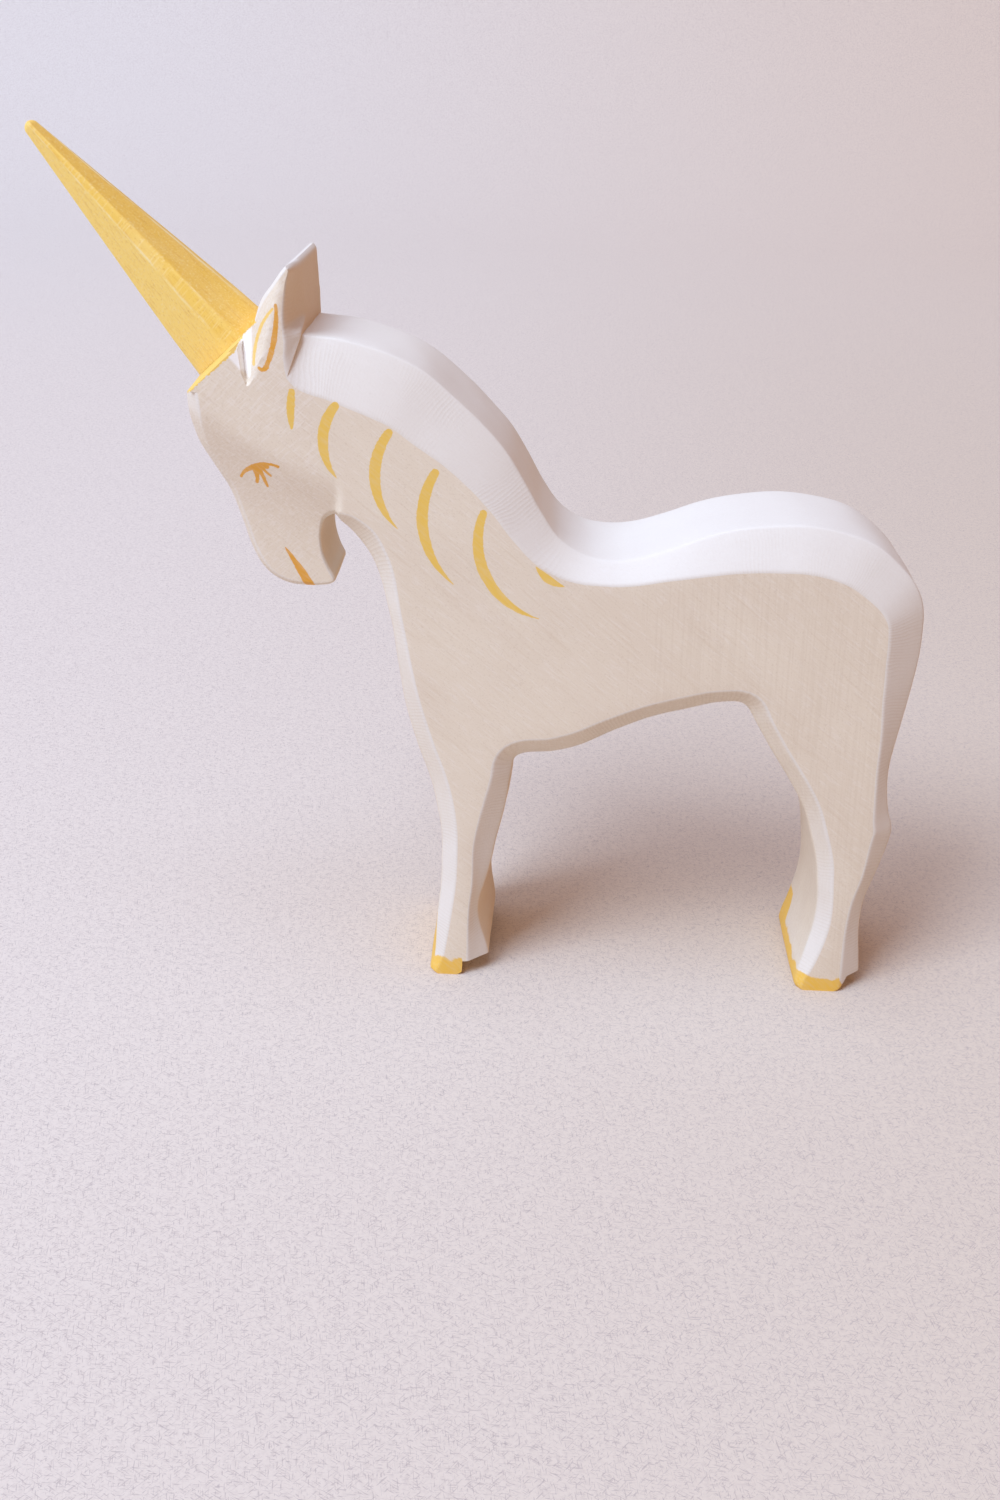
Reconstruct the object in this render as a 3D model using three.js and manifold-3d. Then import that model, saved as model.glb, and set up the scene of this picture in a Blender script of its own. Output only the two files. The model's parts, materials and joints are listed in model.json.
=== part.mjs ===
// Wooden toy unicorn. The body is sawn from one board that stands on edge, and its edges are cut back
// with a knife. The horn is a carved, stained piece on a dowel in the forehead.
// Millimetres, +Z up. The board lies in the XZ plane: horn towards -X, tail towards +X.
// The sides of the board face -Y and +Y, and the part is the same on both.
import * as THREE from 'three';
import { mergeVertices } from 'three/addons/utils/BufferGeometryUtils.js';
import Module from 'manifold-3d';

const wasm = await Module();
wasm.setup();

// Board
const boardThickness = 25;
const deepestChamfer = 3.2;
const pointSpacing = 1.6;

// Hooves: each sole is flat, and a notch behind it lifts the heel off the floor
const heelRise = 3;
const heelSlope = 0.3;
const heelReach = 8;
const frontHoofBack = -1.8;
const hindHoofBack = 63.2;
const hindHoofLean = 1.4;
const legOverrun = 8;
const farOut = 200;

// Head: both cheeks are hollowed below the brow, which leaves a narrow muzzle
const muzzleThickness = 12;
const browFront = new THREE.Vector2(-40.3, 94.2);
const browBack = new THREE.Vector2(-20.3, 84.4);
const cheekReach = 19;
const cheekEnd = -21.4;

// Horn: its axis leans forward from the seat in the forehead
const seatX = -39.6;
const seatZ = 104.5;
const hornLength = 42.2;
const hornAngle = THREE.MathUtils.degToRad(46.8);
const hornBaseHeight = 14;
const hornBaseThickness = 19.2;
const hornTipSize = 1.9;
const hornTopFlat = 6;
const hornSideFlat = 1.9;
const hornSideRise = 2.2;
const rootLength = 8;
const rootSection = { height: 18, thickness: 28, topFlat: 20, sideFlat: 11, sideRise: -0.5 };

// Dowel in the horn and the forehead
const dowelDiameter = 6;
const dowelLength = 22;
const dowelDepthInHorn = 11;
const dowelChamfer = 0.6;
const boreClearance = 0.3;
const boreEndClearance = 0.8;
const seatGap = 0.3;
const roundFacets = 32;

const MAPLE = 0xdcc7a6;
const HORN_STAIN = 0xe8b849;
const BEECH = 0xc79a6b;

// The outline in millimetres, in smooth stretches that meet at corners.
// Each point is x, z and the width of the chamfer there.
const chestAndThroat = [
  [-7.7, -legOverrun, 1.3], [-7.6, 0, 1.3], [-6.9, 3, 1.7], [-6.2, 12, 2.5], [-5.8, 20, 2.8],
  [-5.9, 27, 3], [-7.1, 34, 3.2], [-10, 43, 3.1], [-12.1, 50.2, 3], [-13.2, 57.5, 2.4],
  [-14.3, 64.5, 2.1], [-15.9, 71, 2.6], [-17.5, 74.8, 3], [-19.4, 77.5, 3.3], [-21.7, 79.9, 2.4],
];
const chinBack = [
  [-23.2, 80.6, 1.5], [-24.6, 79.9, 1], [-25.2, 78.2, 0.8], [-25.4, 76.4, 0.8], [-25.1, 73.6, 0.8],
  [-24.4, 71.4, 0.7], [-23.5, 69.2, 0.4],
];
const muzzleAndForehead = [
  [-24.2, 68.6, 0.4], [-26.2, 68.2, 0.8], [-28.2, 68.1, 1.2], [-30.6, 68.5, 1.3], [-32.9, 69.6, 1.5],
  [-34.7, 71.4, 1.6], [-36.1, 74.4, 1.8], [-37.3, 79, 2], [-39, 84, 2.2], [-41.1, 87.8, 2.4],
  [-43.3, 91.6, 2.6], [-44, 95.6, 2.8], [-43.9, 98, 2.8], [-43.1, 99.8, 2], [-41.4, 101, 1.2],
  [-39.2, 102.4, 0.9], [-37.7, 104, 0.9], [-36.9, 106, 1.6],
];
const earFront = [
  [-35.9, 108.3, 2.3], [-33.3, 112.7, 2.1], [-31.3, 115.4, 1.4], [-29.7, 117.5, 0.7],
];
const earBack = [
  [-29, 118.1, 0.5], [-28.3, 117.7, 0.7], [-27.9, 115.4, 1.3], [-27.6, 112, 2.2], [-27.6, 108.1, 2.3],
];
const maneAndBack = [
  [-27.2, 107.95, 5.6], [-26.2, 107.9, 7.6], [-22.3, 107.5, 8.4], [-17.6, 106.5, 9],
  [-13.5, 105.2, 9.2], [-9.8, 103.4, 9.1],
  [-5.3, 99.9, 8.8], [-0.8, 95.9, 8.1], [3.1, 91.6, 7.4], [6, 87.2, 6.6], [8.9, 82.2, 5.6],
  [11.9, 78.3, 4.8], [15.7, 76.1, 4.1], [20, 75.4, 3.5], [24, 75.9, 3.6], [28.9, 77.5, 4.4],
  [34, 79.5, 5.6], [39.2, 81, 6.3], [44.4, 81.7, 6.6], [50, 81.8, 6.7], [55.5, 81, 6.8],
  [59.4, 79.7, 6.9], [62.9, 77.5, 6.9], [66.9, 73.5, 6.6], [68.9, 69.4, 6.3], [69.4, 64.5, 6],
  [69.2, 59.5, 5.6], [68.5, 52.8, 4.6], [67.5, 46.5, 3.1], [67, 42, 2.6], [67.2, 37.8, 2.6],
  [67.9, 34, 3], [68.9, 30.8, 3.6],
];
const hindShank = [
  [68.5, 27.2, 3.6], [67, 21.6, 2.8], [65.9, 17, 2.6], [65.8, 12.3, 2.9], [66.5, 6, 3.6],
  [66.9, 3, 3.9], [66.9, -4, 3.9], [66.9, -legOverrun, 0.5],
];
const hindLegFront = [
  [55.5, -legOverrun, 1.3], [55.6, 0, 1.3], [56, 3.2, 1.7], [56.6, 5.5, 2], [57.7, 11, 2.4],
  [58, 15.6, 2.5], [57.6, 20.5, 2.6], [57, 24.2, 2.7], [55.7, 28.8, 2.8], [53.9, 34, 2.8],
  [51, 39.2, 2.8], [47.8, 43.9, 2.7], [44.9, 48.7, 2.8], [43.2, 52.5, 3.1],
];
const belly = [
  [38.8, 52.2, 3.2], [33.4, 50.9, 3.3], [27.6, 49.1, 3.4], [22, 46.5, 3.5], [16.5, 43.6, 3.7],
  [12.2, 42.2, 3.7], [7.6, 41.8, 3.6],
];
const frontLegBack = [
  [6.1, 40.9, 3.6], [5.7, 38, 3.5], [5.4, 33, 3.9], [5, 28.6, 4.1], [4, 23.1, 3.8], [2.7, 17.2, 2.8],
  [1.8, 13, 2.4], [2, 8.8, 2.9], [2.8, 4.4, 3.8], [3, -4, 4],
  [3, -legOverrun, 0.5],
];

// Points along one stretch, close enough together for a smooth edge
function walkStretch(points) {
  const curve = new THREE.CatmullRomCurve3(points.map((p) => new THREE.Vector3(...p)), false, 'centripetal');
  const steps = Math.max(2, Math.round(curve.getLength() / pointSpacing));
  return curve.getSpacedPoints(steps);
}

// The points of a closed outline, each moved into the wood by its chamfer width
function insetOutline(outline) {
  return outline.map((point, i) => {
    const before = outline[(i + outline.length - 1) % outline.length];
    const after = outline[(i + 1) % outline.length];
    const first = new THREE.Vector2(point.x - before.x, point.y - before.y).normalize();
    const second = new THREE.Vector2(after.x - point.x, after.y - point.y).normalize();
    const along = first.clone().add(second).normalize();
    const mitre = point.z / Math.max(0.6, along.dot(first));
    return new THREE.Vector2(point.x + along.y * mitre, point.y - along.x * mitre);
  });
}

// A board with the outline given. A chamfer runs round the outline on both sides of the board.
function chamferedBoard(outline) {
  const inset = insetOutline(outline);
  const count = outline.length;
  const half = boardThickness / 2;
  const positions = [];
  const addRing = (ring, depthAt) => ring.forEach((point, i) => positions.push(point.x, depthAt(i), point.y));
  const depth = (i) => deepestChamfer * Math.tanh(outline[i].z / deepestChamfer);
  addRing(inset, () => -half);
  addRing(outline, (i) => -half + depth(i));
  addRing(outline, (i) => half - depth(i));
  addRing(inset, () => half);
  const index = [];
  for (let ring = 0; ring < 3; ring += 1) {
    for (let i = 0; i < count; i += 1) {
      const next = (i + 1) % count;
      const a = ring * count + i;
      const b = ring * count + next;
      index.push(a, b, b + count, a, b + count, a + count);
    }
  }
  for (const [a, b, c] of THREE.ShapeUtils.triangulateShape(inset, [])) {
    index.push(a, b, c, 3 * count + a, 3 * count + c, 3 * count + b);
  }
  const geometry = new THREE.BufferGeometry();
  geometry.setAttribute('position', new THREE.Float32BufferAttribute(positions, 3));
  geometry.setIndex(index);
  return geometry;
}

// A closed geometry as a solid, turned right side out if its volume comes out negative
function solidOf(geometry) {
  const bare = geometry.clone();
  bare.deleteAttribute('normal');
  bare.deleteAttribute('uv');
  const merged = mergeVertices(bare, 1e-5);
  const position = merged.getAttribute('position');
  const vertProperties = new Float32Array(position.array);
  const triVerts = new Uint32Array(merged.getIndex().array);
  let volume = 0;
  const corner = [new THREE.Vector3(), new THREE.Vector3(), new THREE.Vector3()];
  for (let t = 0; t < triVerts.length; t += 3) {
    corner.forEach((c, k) => c.fromBufferAttribute(position, triVerts[t + k]));
    volume += corner[0].dot(corner[1].clone().cross(corner[2]));
  }
  if (volume < 0) {
    for (let t = 0; t < triVerts.length; t += 3) {
      [triVerts[t], triVerts[t + 1]] = [triVerts[t + 1], triVerts[t]];
    }
  }
  return new wasm.Manifold(new wasm.Mesh({ numProp: 3, vertProperties, triVerts }));
}

function geometryOf(solid) {
  const mesh = solid.getMesh();
  const geometry = new THREE.BufferGeometry();
  geometry.setAttribute('position', new THREE.BufferAttribute(new Float32Array(mesh.vertProperties), 3));
  geometry.setIndex(new THREE.BufferAttribute(new Uint32Array(mesh.triVerts), 1));
  return geometry;
}

// A prism through the whole board from a closed shape in the XZ plane
function throughCut(corners) {
  const shape = new THREE.Shape(corners.map(([x, z]) => new THREE.Vector2(x, z)));
  const depth = boardThickness * 2;
  const geometry = new THREE.ExtrudeGeometry(shape, { depth, bevelEnabled: false });
  geometry.rotateX(Math.PI / 2);
  geometry.translate(0, depth / 2, 0);
  return solidOf(geometry);
}

// Directions of the horn in the board's plane: along its axis, and across it towards the ear
const hornAlong = new THREE.Vector3(-Math.cos(hornAngle), 0, Math.sin(hornAngle));
const hornAcross = new THREE.Vector3(Math.sin(hornAngle), 0, Math.cos(hornAngle));
const seat = new THREE.Vector3(seatX, 0, seatZ);

// A section across the horn's axis: flats at the top, bottom and sides, joined by four wide facets.
// The side flats can sit above the middle of the section.
function sectionAt(distance, { height, thickness, topFlat, sideFlat, sideRise }) {
  const section = [
    [height / 2, topFlat / 2], [sideRise + sideFlat / 2, thickness / 2],
    [sideRise - sideFlat / 2, thickness / 2], [-height / 2, topFlat / 2],
  ];
  const mirrored = section.map(([across, side]) => [across, -side]).reverse();
  return section.concat(mirrored).map(([across, side]) => seat.clone()
    .addScaledVector(hornAlong, distance)
    .addScaledVector(hornAcross, across)
    .add(new THREE.Vector3(0, side, 0)));
}

const hornBase = {
  height: hornBaseHeight,
  thickness: hornBaseThickness,
  topFlat: hornTopFlat,
  sideFlat: hornSideFlat,
  sideRise: hornSideRise,
};

// The horn's section shrunk to another height and thickness
function shrunkBase(height, thickness) {
  const tall = height / hornBaseHeight;
  const thick = thickness / hornBaseThickness;
  return {
    height,
    thickness,
    topFlat: hornTopFlat * thick,
    sideFlat: hornSideFlat * tall,
    sideRise: hornSideRise * tall,
  };
}

// A closed solid through rings with as many points each
function loft(rings) {
  const count = rings[0].length;
  const positions = [];
  rings.forEach((ring) => ring.forEach((p) => positions.push(p.x, p.y, p.z)));
  const index = [];
  for (let r = 0; r + 1 < rings.length; r += 1) {
    for (let i = 0; i < count; i += 1) {
      const a = r * count + i;
      const b = r * count + (i + 1) % count;
      index.push(a, b, b + count, a, b + count, a + count);
    }
  }
  const last = (rings.length - 1) * count;
  for (let i = 1; i + 1 < count; i += 1) {
    index.push(0, i + 1, i, last, last + i, last + i + 1);
  }
  const geometry = new THREE.BufferGeometry();
  geometry.setAttribute('position', new THREE.Float32BufferAttribute(positions, 3));
  geometry.setIndex(index);
  return geometry;
}

// A cylinder on the horn's axis, between two distances from the seat
function onHornAxis(diameter, from, to) {
  const geometry = new THREE.CylinderGeometry(diameter / 2, diameter / 2, to - from, roundFacets);
  return placeOnHornAxis(geometry, (from + to) / 2);
}

function placeOnHornAxis(geometry, distance) {
  const turn = new THREE.Quaternion().setFromUnitVectors(new THREE.Vector3(0, 1, 0), hornAlong);
  const centre = seat.clone().addScaledVector(hornAlong, distance);
  geometry.applyQuaternion(turn);
  geometry.translate(centre.x, centre.y, centre.z);
  return geometry;
}

// The horn's straight taper, with a margin all round
function taperAt(distance, margin) {
  const sizeAt = (base) => base + (hornTipSize - base) * (distance / hornLength) + margin * 2;
  return sectionAt(distance, shrunkBase(sizeAt(hornBaseHeight), sizeAt(hornBaseThickness)));
}

// Horn: straight taper, with the last millimetre rounded over
function makeHorn() {
  const roundFrom = hornLength - hornTipSize / 2;
  const rings = [seatGap / 2, roundFrom * 0.5, roundFrom].map((distance) => taperAt(distance, 0));
  for (const angle of [30, 60, 80].map(THREE.MathUtils.degToRad)) {
    const size = Math.cos(angle) * hornTipSize;
    rings.push(sectionAt(roundFrom + Math.sin(angle) * hornTipSize / 2, shrunkBase(size, size)));
  }
  const bore = onHornAxis(dowelDiameter + boreClearance * 2, -1, dowelDepthInHorn + boreEndClearance);
  return solidOf(loft(rings)).subtract(solidOf(bore));
}

function makeDowel() {
  const radius = dowelDiameter / 2;
  const profile = [
    [0, -dowelLength / 2],
    [radius - dowelChamfer, -dowelLength / 2],
    [radius, -dowelLength / 2 + dowelChamfer],
    [radius, dowelLength / 2 - dowelChamfer],
    [radius - dowelChamfer, dowelLength / 2],
    [0, dowelLength / 2],
  ].map((p) => new THREE.Vector2(...p));
  const geometry = new THREE.LatheGeometry(profile, roundFacets);
  return solidOf(placeOnHornAxis(geometry, dowelDepthInHorn - dowelLength / 2));
}

// Root of the horn: the forehead swells from the horn's section to the board's thickness
function makeRoot() {
  const root = loft([
    sectionAt(-rootLength, rootSection),
    sectionAt(-seatGap / 2, hornBase),
  ]);
  const board = new THREE.BoxGeometry(rootLength * 4, boardThickness, rootLength * 4);
  board.translate(seatX, 0, seatZ);
  return solidOf(root).intersect(solidOf(board));
}

// Seat of the horn: the ear is cut back wherever the horn passes it
function makeHornSeat() {
  return solidOf(loft([taperAt(-seatGap / 2, seatGap), taperAt(hornLength / 2, seatGap)]));
}

// One cheek hollow: a wide cylinder along the brow, stopped at the throat
function makeCheekCut(side) {
  const depth = (boardThickness - muzzleThickness) / 2;
  const radius = (cheekReach ** 2 + depth ** 2) / (2 * depth);
  const brow = browBack.clone().sub(browFront);
  const down = new THREE.Vector2(brow.y, -brow.x).normalize();
  const length = brow.length() * 3;
  const middle = browFront.clone().add(browBack).multiplyScalar(0.5).addScaledVector(down, cheekReach);
  const geometry = new THREE.CylinderGeometry(radius, radius, length, roundFacets * 6);
  geometry.rotateZ(-Math.PI / 2);
  geometry.rotateY(-brow.angle());
  geometry.translate(middle.x, side * (muzzleThickness / 2 + radius), middle.y);
  const keep = new THREE.BoxGeometry(length, radius * 2, length);
  keep.translate(-length / 2, 0, 0);
  keep.rotateZ(side * Math.PI / 4);
  keep.translate(cheekEnd, side * boardThickness / 2, browBack.y - length / 4);
  return solidOf(geometry).intersect(solidOf(keep));
}

function makeBody() {
  const stretches = [
    chestAndThroat, chinBack, muzzleAndForehead, earFront, earBack, maneAndBack, hindShank,
    hindLegFront, belly, frontLegBack,
  ];
  const outline = stretches.flatMap(walkStretch);
  const floorCut = throughCut([
    [-farOut, 0], [farOut, 0], [farOut, -legOverrun * 2], [-farOut, -legOverrun * 2],
  ]);
  const heelCut = (back, lean) => throughCut([
    [back, -legOverrun], [back, 0], [back + lean, heelRise - heelSlope],
    [back + heelReach, heelRise + heelSlope], [back + heelReach, -legOverrun],
  ]);
  const bore = onHornAxis(
    dowelDiameter + boreClearance * 2,
    dowelDepthInHorn - dowelLength - boreEndClearance,
    hornBaseHeight,
  );
  return solidOf(chamferedBoard(outline))
    .add(makeRoot())
    .subtract(makeHornSeat())
    .subtract(floorCut)
    .subtract(heelCut(frontHoofBack, 0))
    .subtract(heelCut(hindHoofBack, hindHoofLean))
    .subtract(makeCheekCut(-1))
    .subtract(makeCheekCut(1))
    .subtract(solidOf(bore));
}

function wood(colour, roughness) {
  return new THREE.MeshStandardMaterial({ color: colour, roughness, metalness: 0 });
}

function addPiece(group, name, solid, material) {
  const mesh = new THREE.Mesh(geometryOf(solid), material);
  mesh.name = name;
  group.add(mesh);
}

const unicorn = new THREE.Group();
addPiece(unicorn, 'body', makeBody(), wood(MAPLE, 0.6));
addPiece(unicorn, 'horn', makeHorn(), wood(HORN_STAIN, 0.55));
addPiece(unicorn, 'horn_dowel', makeDowel(), wood(BEECH, 0.65));

// The origin is the bottom centre of the whole toy
const bounds = new THREE.Box3().setFromObject(unicorn);
const centre = bounds.getCenter(new THREE.Vector3());
unicorn.position.set(-centre.x, -centre.y, -bounds.min.z);

export default unicorn;
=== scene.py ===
# %% [markdown]
# # A wooden toy unicorn
# The toy is one board of pale maple standing on edge, sawn to an animal's outline and then cut back
# along its edges with a knife. A carved horn, stained yellow, sits on the forehead, and the eye, the mouth,
# the mane and the hooves are painted with a small brush. This notebook loads the measured solids, builds
# the finished pieces over them, paints them, and lights them on a sheet of pale paper. Shapes are written
# in millimetres: x runs from the head to the rump, y from the near side to the far side, and z upward.

# %% Load the frame
import json
import math

import bmesh
import bpy
import numpy as np
from mathutils import Euler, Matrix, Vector, noise
from mathutils.geometry import delaunay_2d_cdt

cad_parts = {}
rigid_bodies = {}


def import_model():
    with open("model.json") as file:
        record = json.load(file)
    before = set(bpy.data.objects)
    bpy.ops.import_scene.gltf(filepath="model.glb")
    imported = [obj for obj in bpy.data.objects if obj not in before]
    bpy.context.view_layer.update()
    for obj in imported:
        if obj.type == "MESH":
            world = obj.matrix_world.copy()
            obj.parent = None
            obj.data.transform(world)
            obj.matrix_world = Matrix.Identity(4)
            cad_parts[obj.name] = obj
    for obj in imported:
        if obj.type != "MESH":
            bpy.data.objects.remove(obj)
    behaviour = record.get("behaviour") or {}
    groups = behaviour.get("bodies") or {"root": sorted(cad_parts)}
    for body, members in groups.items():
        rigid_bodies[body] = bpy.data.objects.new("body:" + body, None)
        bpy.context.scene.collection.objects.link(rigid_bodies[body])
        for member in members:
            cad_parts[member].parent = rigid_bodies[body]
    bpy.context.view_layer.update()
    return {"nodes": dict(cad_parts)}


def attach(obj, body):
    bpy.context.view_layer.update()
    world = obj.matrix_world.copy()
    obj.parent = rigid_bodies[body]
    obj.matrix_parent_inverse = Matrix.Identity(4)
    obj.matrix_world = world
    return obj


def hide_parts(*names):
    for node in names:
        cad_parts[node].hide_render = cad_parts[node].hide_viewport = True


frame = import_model()
scene = bpy.context.scene
MM = 0.001

# %% [markdown]
# ## The camera
# The photograph was taken from a little above the toy's back, a quarter of a metre away, so the lines
# across the board run together strongly. The place and the angle come from those lines: the long edges of
# the trunk give one vanishing point and the edges across the board give another.

# %% Place the camera
camera_place = (0.009478, -0.246970, 0.153554)
camera_turn = (64.821, -1.618, 2.269)
camera_data = bpy.data.cameras.new("camera")
camera_data.lens = 38.4
camera_data.sensor_width = 36.0
camera_data.clip_start = 0.01
camera = bpy.data.objects.new("camera", camera_data)
camera.location = camera_place
camera.rotation_euler = Euler([math.radians(angle) for angle in camera_turn])
scene.collection.objects.link(camera)
scene.camera = camera
scene.view_settings.view_transform = "Standard"
print("camera at", camera_place, "turned", camera_turn)

# %% [markdown]
# ## The outline
# A toymaker draws the animal once on the board and follows the line with a band saw. Here the same line is
# a list of points, each with the width of the knife cut along the edge there. A centripetal Catmull-Rom
# curve goes through the points without overshooting, and the stretches meet at the outline's true corners:
# the foot of the horn and the notch between the ear and the mane.

# %% Draw the outline
drawing_shift = -0.3247
board_half = 12.5
leg_overrun = -8
seat_low = (-44.7, 99.7)
seat_high = (-34.5, 109.3)
ear_notch = (-27.4, 108.0)

chest_to_forehead = [
    (-7.7, leg_overrun, 1.3), (-7.6, 0, 1.3), (-6.9, 3, 1.7), (-6.2, 12, 2.5), (-5.8, 20, 2.8),
    (-5.9, 27, 3), (-7.1, 34, 3.2), (-10, 43, 3.1), (-12.1, 50.2, 3), (-13.2, 57.5, 2.4),
    (-14.3, 64.5, 2.1), (-15.9, 71, 2.6), (-17.5, 74.8, 3), (-19.4, 77.5, 3.3), (-21.7, 79.9, 2.4),
    (-23.2, 80.6, 1.3), (-24.6, 79.9, 0.7), (-25.2, 78.2, 0.5), (-25.4, 76.4, 0.45), (-25.1, 73.6, 0.45),
    (-24.4, 71.4, 0.45), (-23.5, 69.2, 0.45), (-24.2, 68.5, 0.5), (-26.2, 68, 0.8), (-28.2, 67.9, 1),
    (-30.7, 68.1, 1.1), (-33.3, 69.2, 1.1), (-35.3, 71.1, 1.2), (-36.8, 74.3, 1.2), (-38, 78.8, 1.2),
    (-39.7, 83.8, 1.3), (-41.8, 87.6, 1.5), (-43.8, 91.4, 1.9), (-44.6, 95.4, 2.3), (-44.8, 98.2, 2.3),
    (*seat_low, 2.0),
]
horn_seat = [(*seat_low, 0), (-39.6, 104.5, 0), (*seat_high, 0)]
ear = [
    (*seat_high, 0.2), (-33.3, 112.7, 0.5), (-31.3, 115.4, 0.5), (-29.7, 117.5, 0.5), (-29, 118.1, 0.4),
    (-28.3, 117.7, 0.6), (-27.9, 115.4, 1.5), (-27.6, 112, 2.3), (*ear_notch, 2.5),
]
mane_to_hind_hoof = [
    (*ear_notch, 6.2), (-26.2, 107.9, 7.6), (-22.3, 107.5, 8.4), (-17.6, 106.5, 9), (-13.5, 105.2, 9.2),
    (-9.8, 103.4, 9.1), (-5.3, 99.9, 8.8), (-0.8, 95.9, 8.1), (3.1, 91.6, 7.4), (6, 87.2, 6.6),
    (8.9, 82.2, 5.6), (11.9, 78.3, 4.8), (15.7, 76.1, 4.1), (20, 75.4, 3.5), (24, 75.9, 3.6),
    (28.9, 77.5, 4.4), (34, 79.5, 5.6), (39.2, 81, 6.3), (44.4, 81.7, 6.6), (50, 81.8, 6.7),
    (55.5, 81, 6.8), (59.4, 79.7, 6.9), (62.9, 77.5, 6.9), (66.9, 73.5, 6.6), (68.9, 69.4, 6.3),
    (69.4, 64.5, 6), (69.2, 59.5, 5.6), (68.5, 52.8, 4.6), (67.5, 46.5, 3.1), (67, 42, 2.6),
    (67.2, 37.8, 2.6), (67.9, 34, 3), (68.9, 30.8, 3.6), (68.5, 27.2, 3.6), (67, 21.6, 2.8),
    (65.9, 17, 2.6), (65.8, 12.3, 2.9), (66.5, 6, 3.6), (66.9, 3, 3.9), (66.9, leg_overrun, 3.9),
]
hind_leg_to_front_hoof = [
    (55.5, leg_overrun, 1.3), (55.6, 0, 1.3), (56, 3.2, 1.7), (56.6, 5.5, 2), (57.7, 11, 2.4),
    (58, 15.6, 2.5), (57.6, 20.5, 2.6), (57, 24.2, 2.7), (55.7, 28.8, 2.8), (53.9, 34, 2.8),
    (51, 39.2, 2.8), (47.8, 43.9, 2.7), (44.9, 48.7, 2.8), (42.4, 52.2, 3.1), (38.8, 52.3, 3.2),
    (33.4, 50.9, 3.3), (27.6, 49.1, 3.4), (22, 46.5, 3.5), (16.5, 43.6, 3.7), (12.2, 42.2, 3.7),
    (7.6, 41.8, 3.6), (6.1, 40.9, 3.6), (5.7, 38, 3.5), (5.4, 33, 3.9), (5, 28.6, 4.1),
    (4, 23.1, 3.8), (2.7, 17.2, 2.8), (1.8, 13, 2.4), (2, 8.8, 2.9), (2.8, 4.4, 3.8),
    (3, 0, 4), (3, leg_overrun, 4),
]
outline_spacing = 0.45
curve_steps = 60


def length_along(line):
    """The distance from the start of a line to each of its points."""
    return np.concatenate([[0], np.cumsum(np.linalg.norm(np.diff(line[:, :2], axis=0), axis=1))])


def follow_curve(points, spacing):
    """Even steps along a centripetal Catmull-Rom curve through the points."""
    points = np.array(points, dtype=float)
    padded = np.vstack([2 * points[0] - points[1], points, 2 * points[-1] - points[-2]])
    fine = []
    for before, start, end, after in zip(padded, padded[1:], padded[2:], padded[3:]):
        knots = [0.0]
        for a, b in ((before, start), (start, end), (end, after)):
            knots.append(knots[-1] + math.sqrt(np.linalg.norm(b[:2] - a[:2])))
        k0, k1, k2, k3 = knots
        t = np.linspace(k1, k2, curve_steps, endpoint=False)[:, None]
        a1 = (k1 - t) / (k1 - k0) * before + (t - k0) / (k1 - k0) * start
        a2 = (k2 - t) / (k2 - k1) * start + (t - k1) / (k2 - k1) * end
        a3 = (k3 - t) / (k3 - k2) * end + (t - k2) / (k3 - k2) * after
        b1 = (k2 - t) / (k2 - k0) * a1 + (t - k0) / (k2 - k0) * a2
        b2 = (k3 - t) / (k3 - k1) * a2 + (t - k1) / (k3 - k1) * a3
        fine.append((k2 - t) / (k2 - k1) * b1 + (t - k1) / (k2 - k1) * b2)
    fine = np.vstack(fine + [points[-1:]])
    length = length_along(fine)
    wanted = np.linspace(0, length[-1], max(2, round(length[-1] / spacing)) + 1)
    return np.stack([np.interp(wanted, length, fine[:, k]) for k in range(points.shape[1])], axis=1)


stretches = [
    follow_curve(points, outline_spacing)
    for points in (chest_to_forehead, horn_seat, ear, mane_to_hind_hoof, hind_leg_to_front_hoof)
]
print("outline points:", [len(stretch) for stretch in stretches])

# %% [markdown]
# ## The knife cuts along the edges
# The knife takes a sloping cut off both edges of the board, wide over the mane and rump, narrow at the
# muzzle. Each outline point gets an inner partner, at right angles to the edge. Where a bend is tighter
# than the cut is wide, the inner partners would cross over, so they are gathered at the crossing, which
# gives the crisp mitre that two knife cuts leave where they meet. In the notch behind the ear the cuts
# spread apart instead, and a short fan of partners fills the gap.

# %% Find the inner edge of the cuts
notch_fan = [(-29.75, 107.4), (-29.95, 105.2), (-29.8, 103.6), (-29.5, 102.17)]
notch_pull_reach = 1.6
loop_reach = 90
nearly_parallel = 1e-12


def inner_partners(stretch):
    """Each outline point moved into the wood by the width of its cut."""
    step = np.gradient(stretch[:, :2], axis=0)
    step /= np.linalg.norm(step, axis=1)[:, None]
    inward = np.stack([step[:, 1], -step[:, 0]], axis=1)
    return stretch[:, :2] + inward * stretch[:, 2:3]


def gather_crossings(inner):
    """Where the inner line crosses itself, put the points of the loop at the crossing."""
    count = len(inner)
    i = 0
    while i < count - 3:
        start, end = inner[i], inner[i + 1]
        d = end - start
        last = min(count - 1, i + loop_reach)
        a = inner[i + 2:last]
        e = inner[i + 3:last + 1] - a
        cross = d[0] * e[:, 1] - d[1] * e[:, 0]
        safe = np.where(np.abs(cross) < nearly_parallel, 1.0, cross)
        off = a - start
        t = (off[:, 0] * e[:, 1] - off[:, 1] * e[:, 0]) / safe
        u = (off[:, 0] * d[1] - off[:, 1] * d[0]) / safe
        meets = (np.abs(cross) > nearly_parallel) & (t >= 0) & (t <= 1) & (u >= 0) & (u <= 1)
        hits = np.nonzero(meets)[0]
        if len(hits):
            stop = i + 2 + hits[-1]
            inner[i + 1:stop + 1] = start + d * t[hits[-1]]
            i = stop
        i += 1
    return inner


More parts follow.
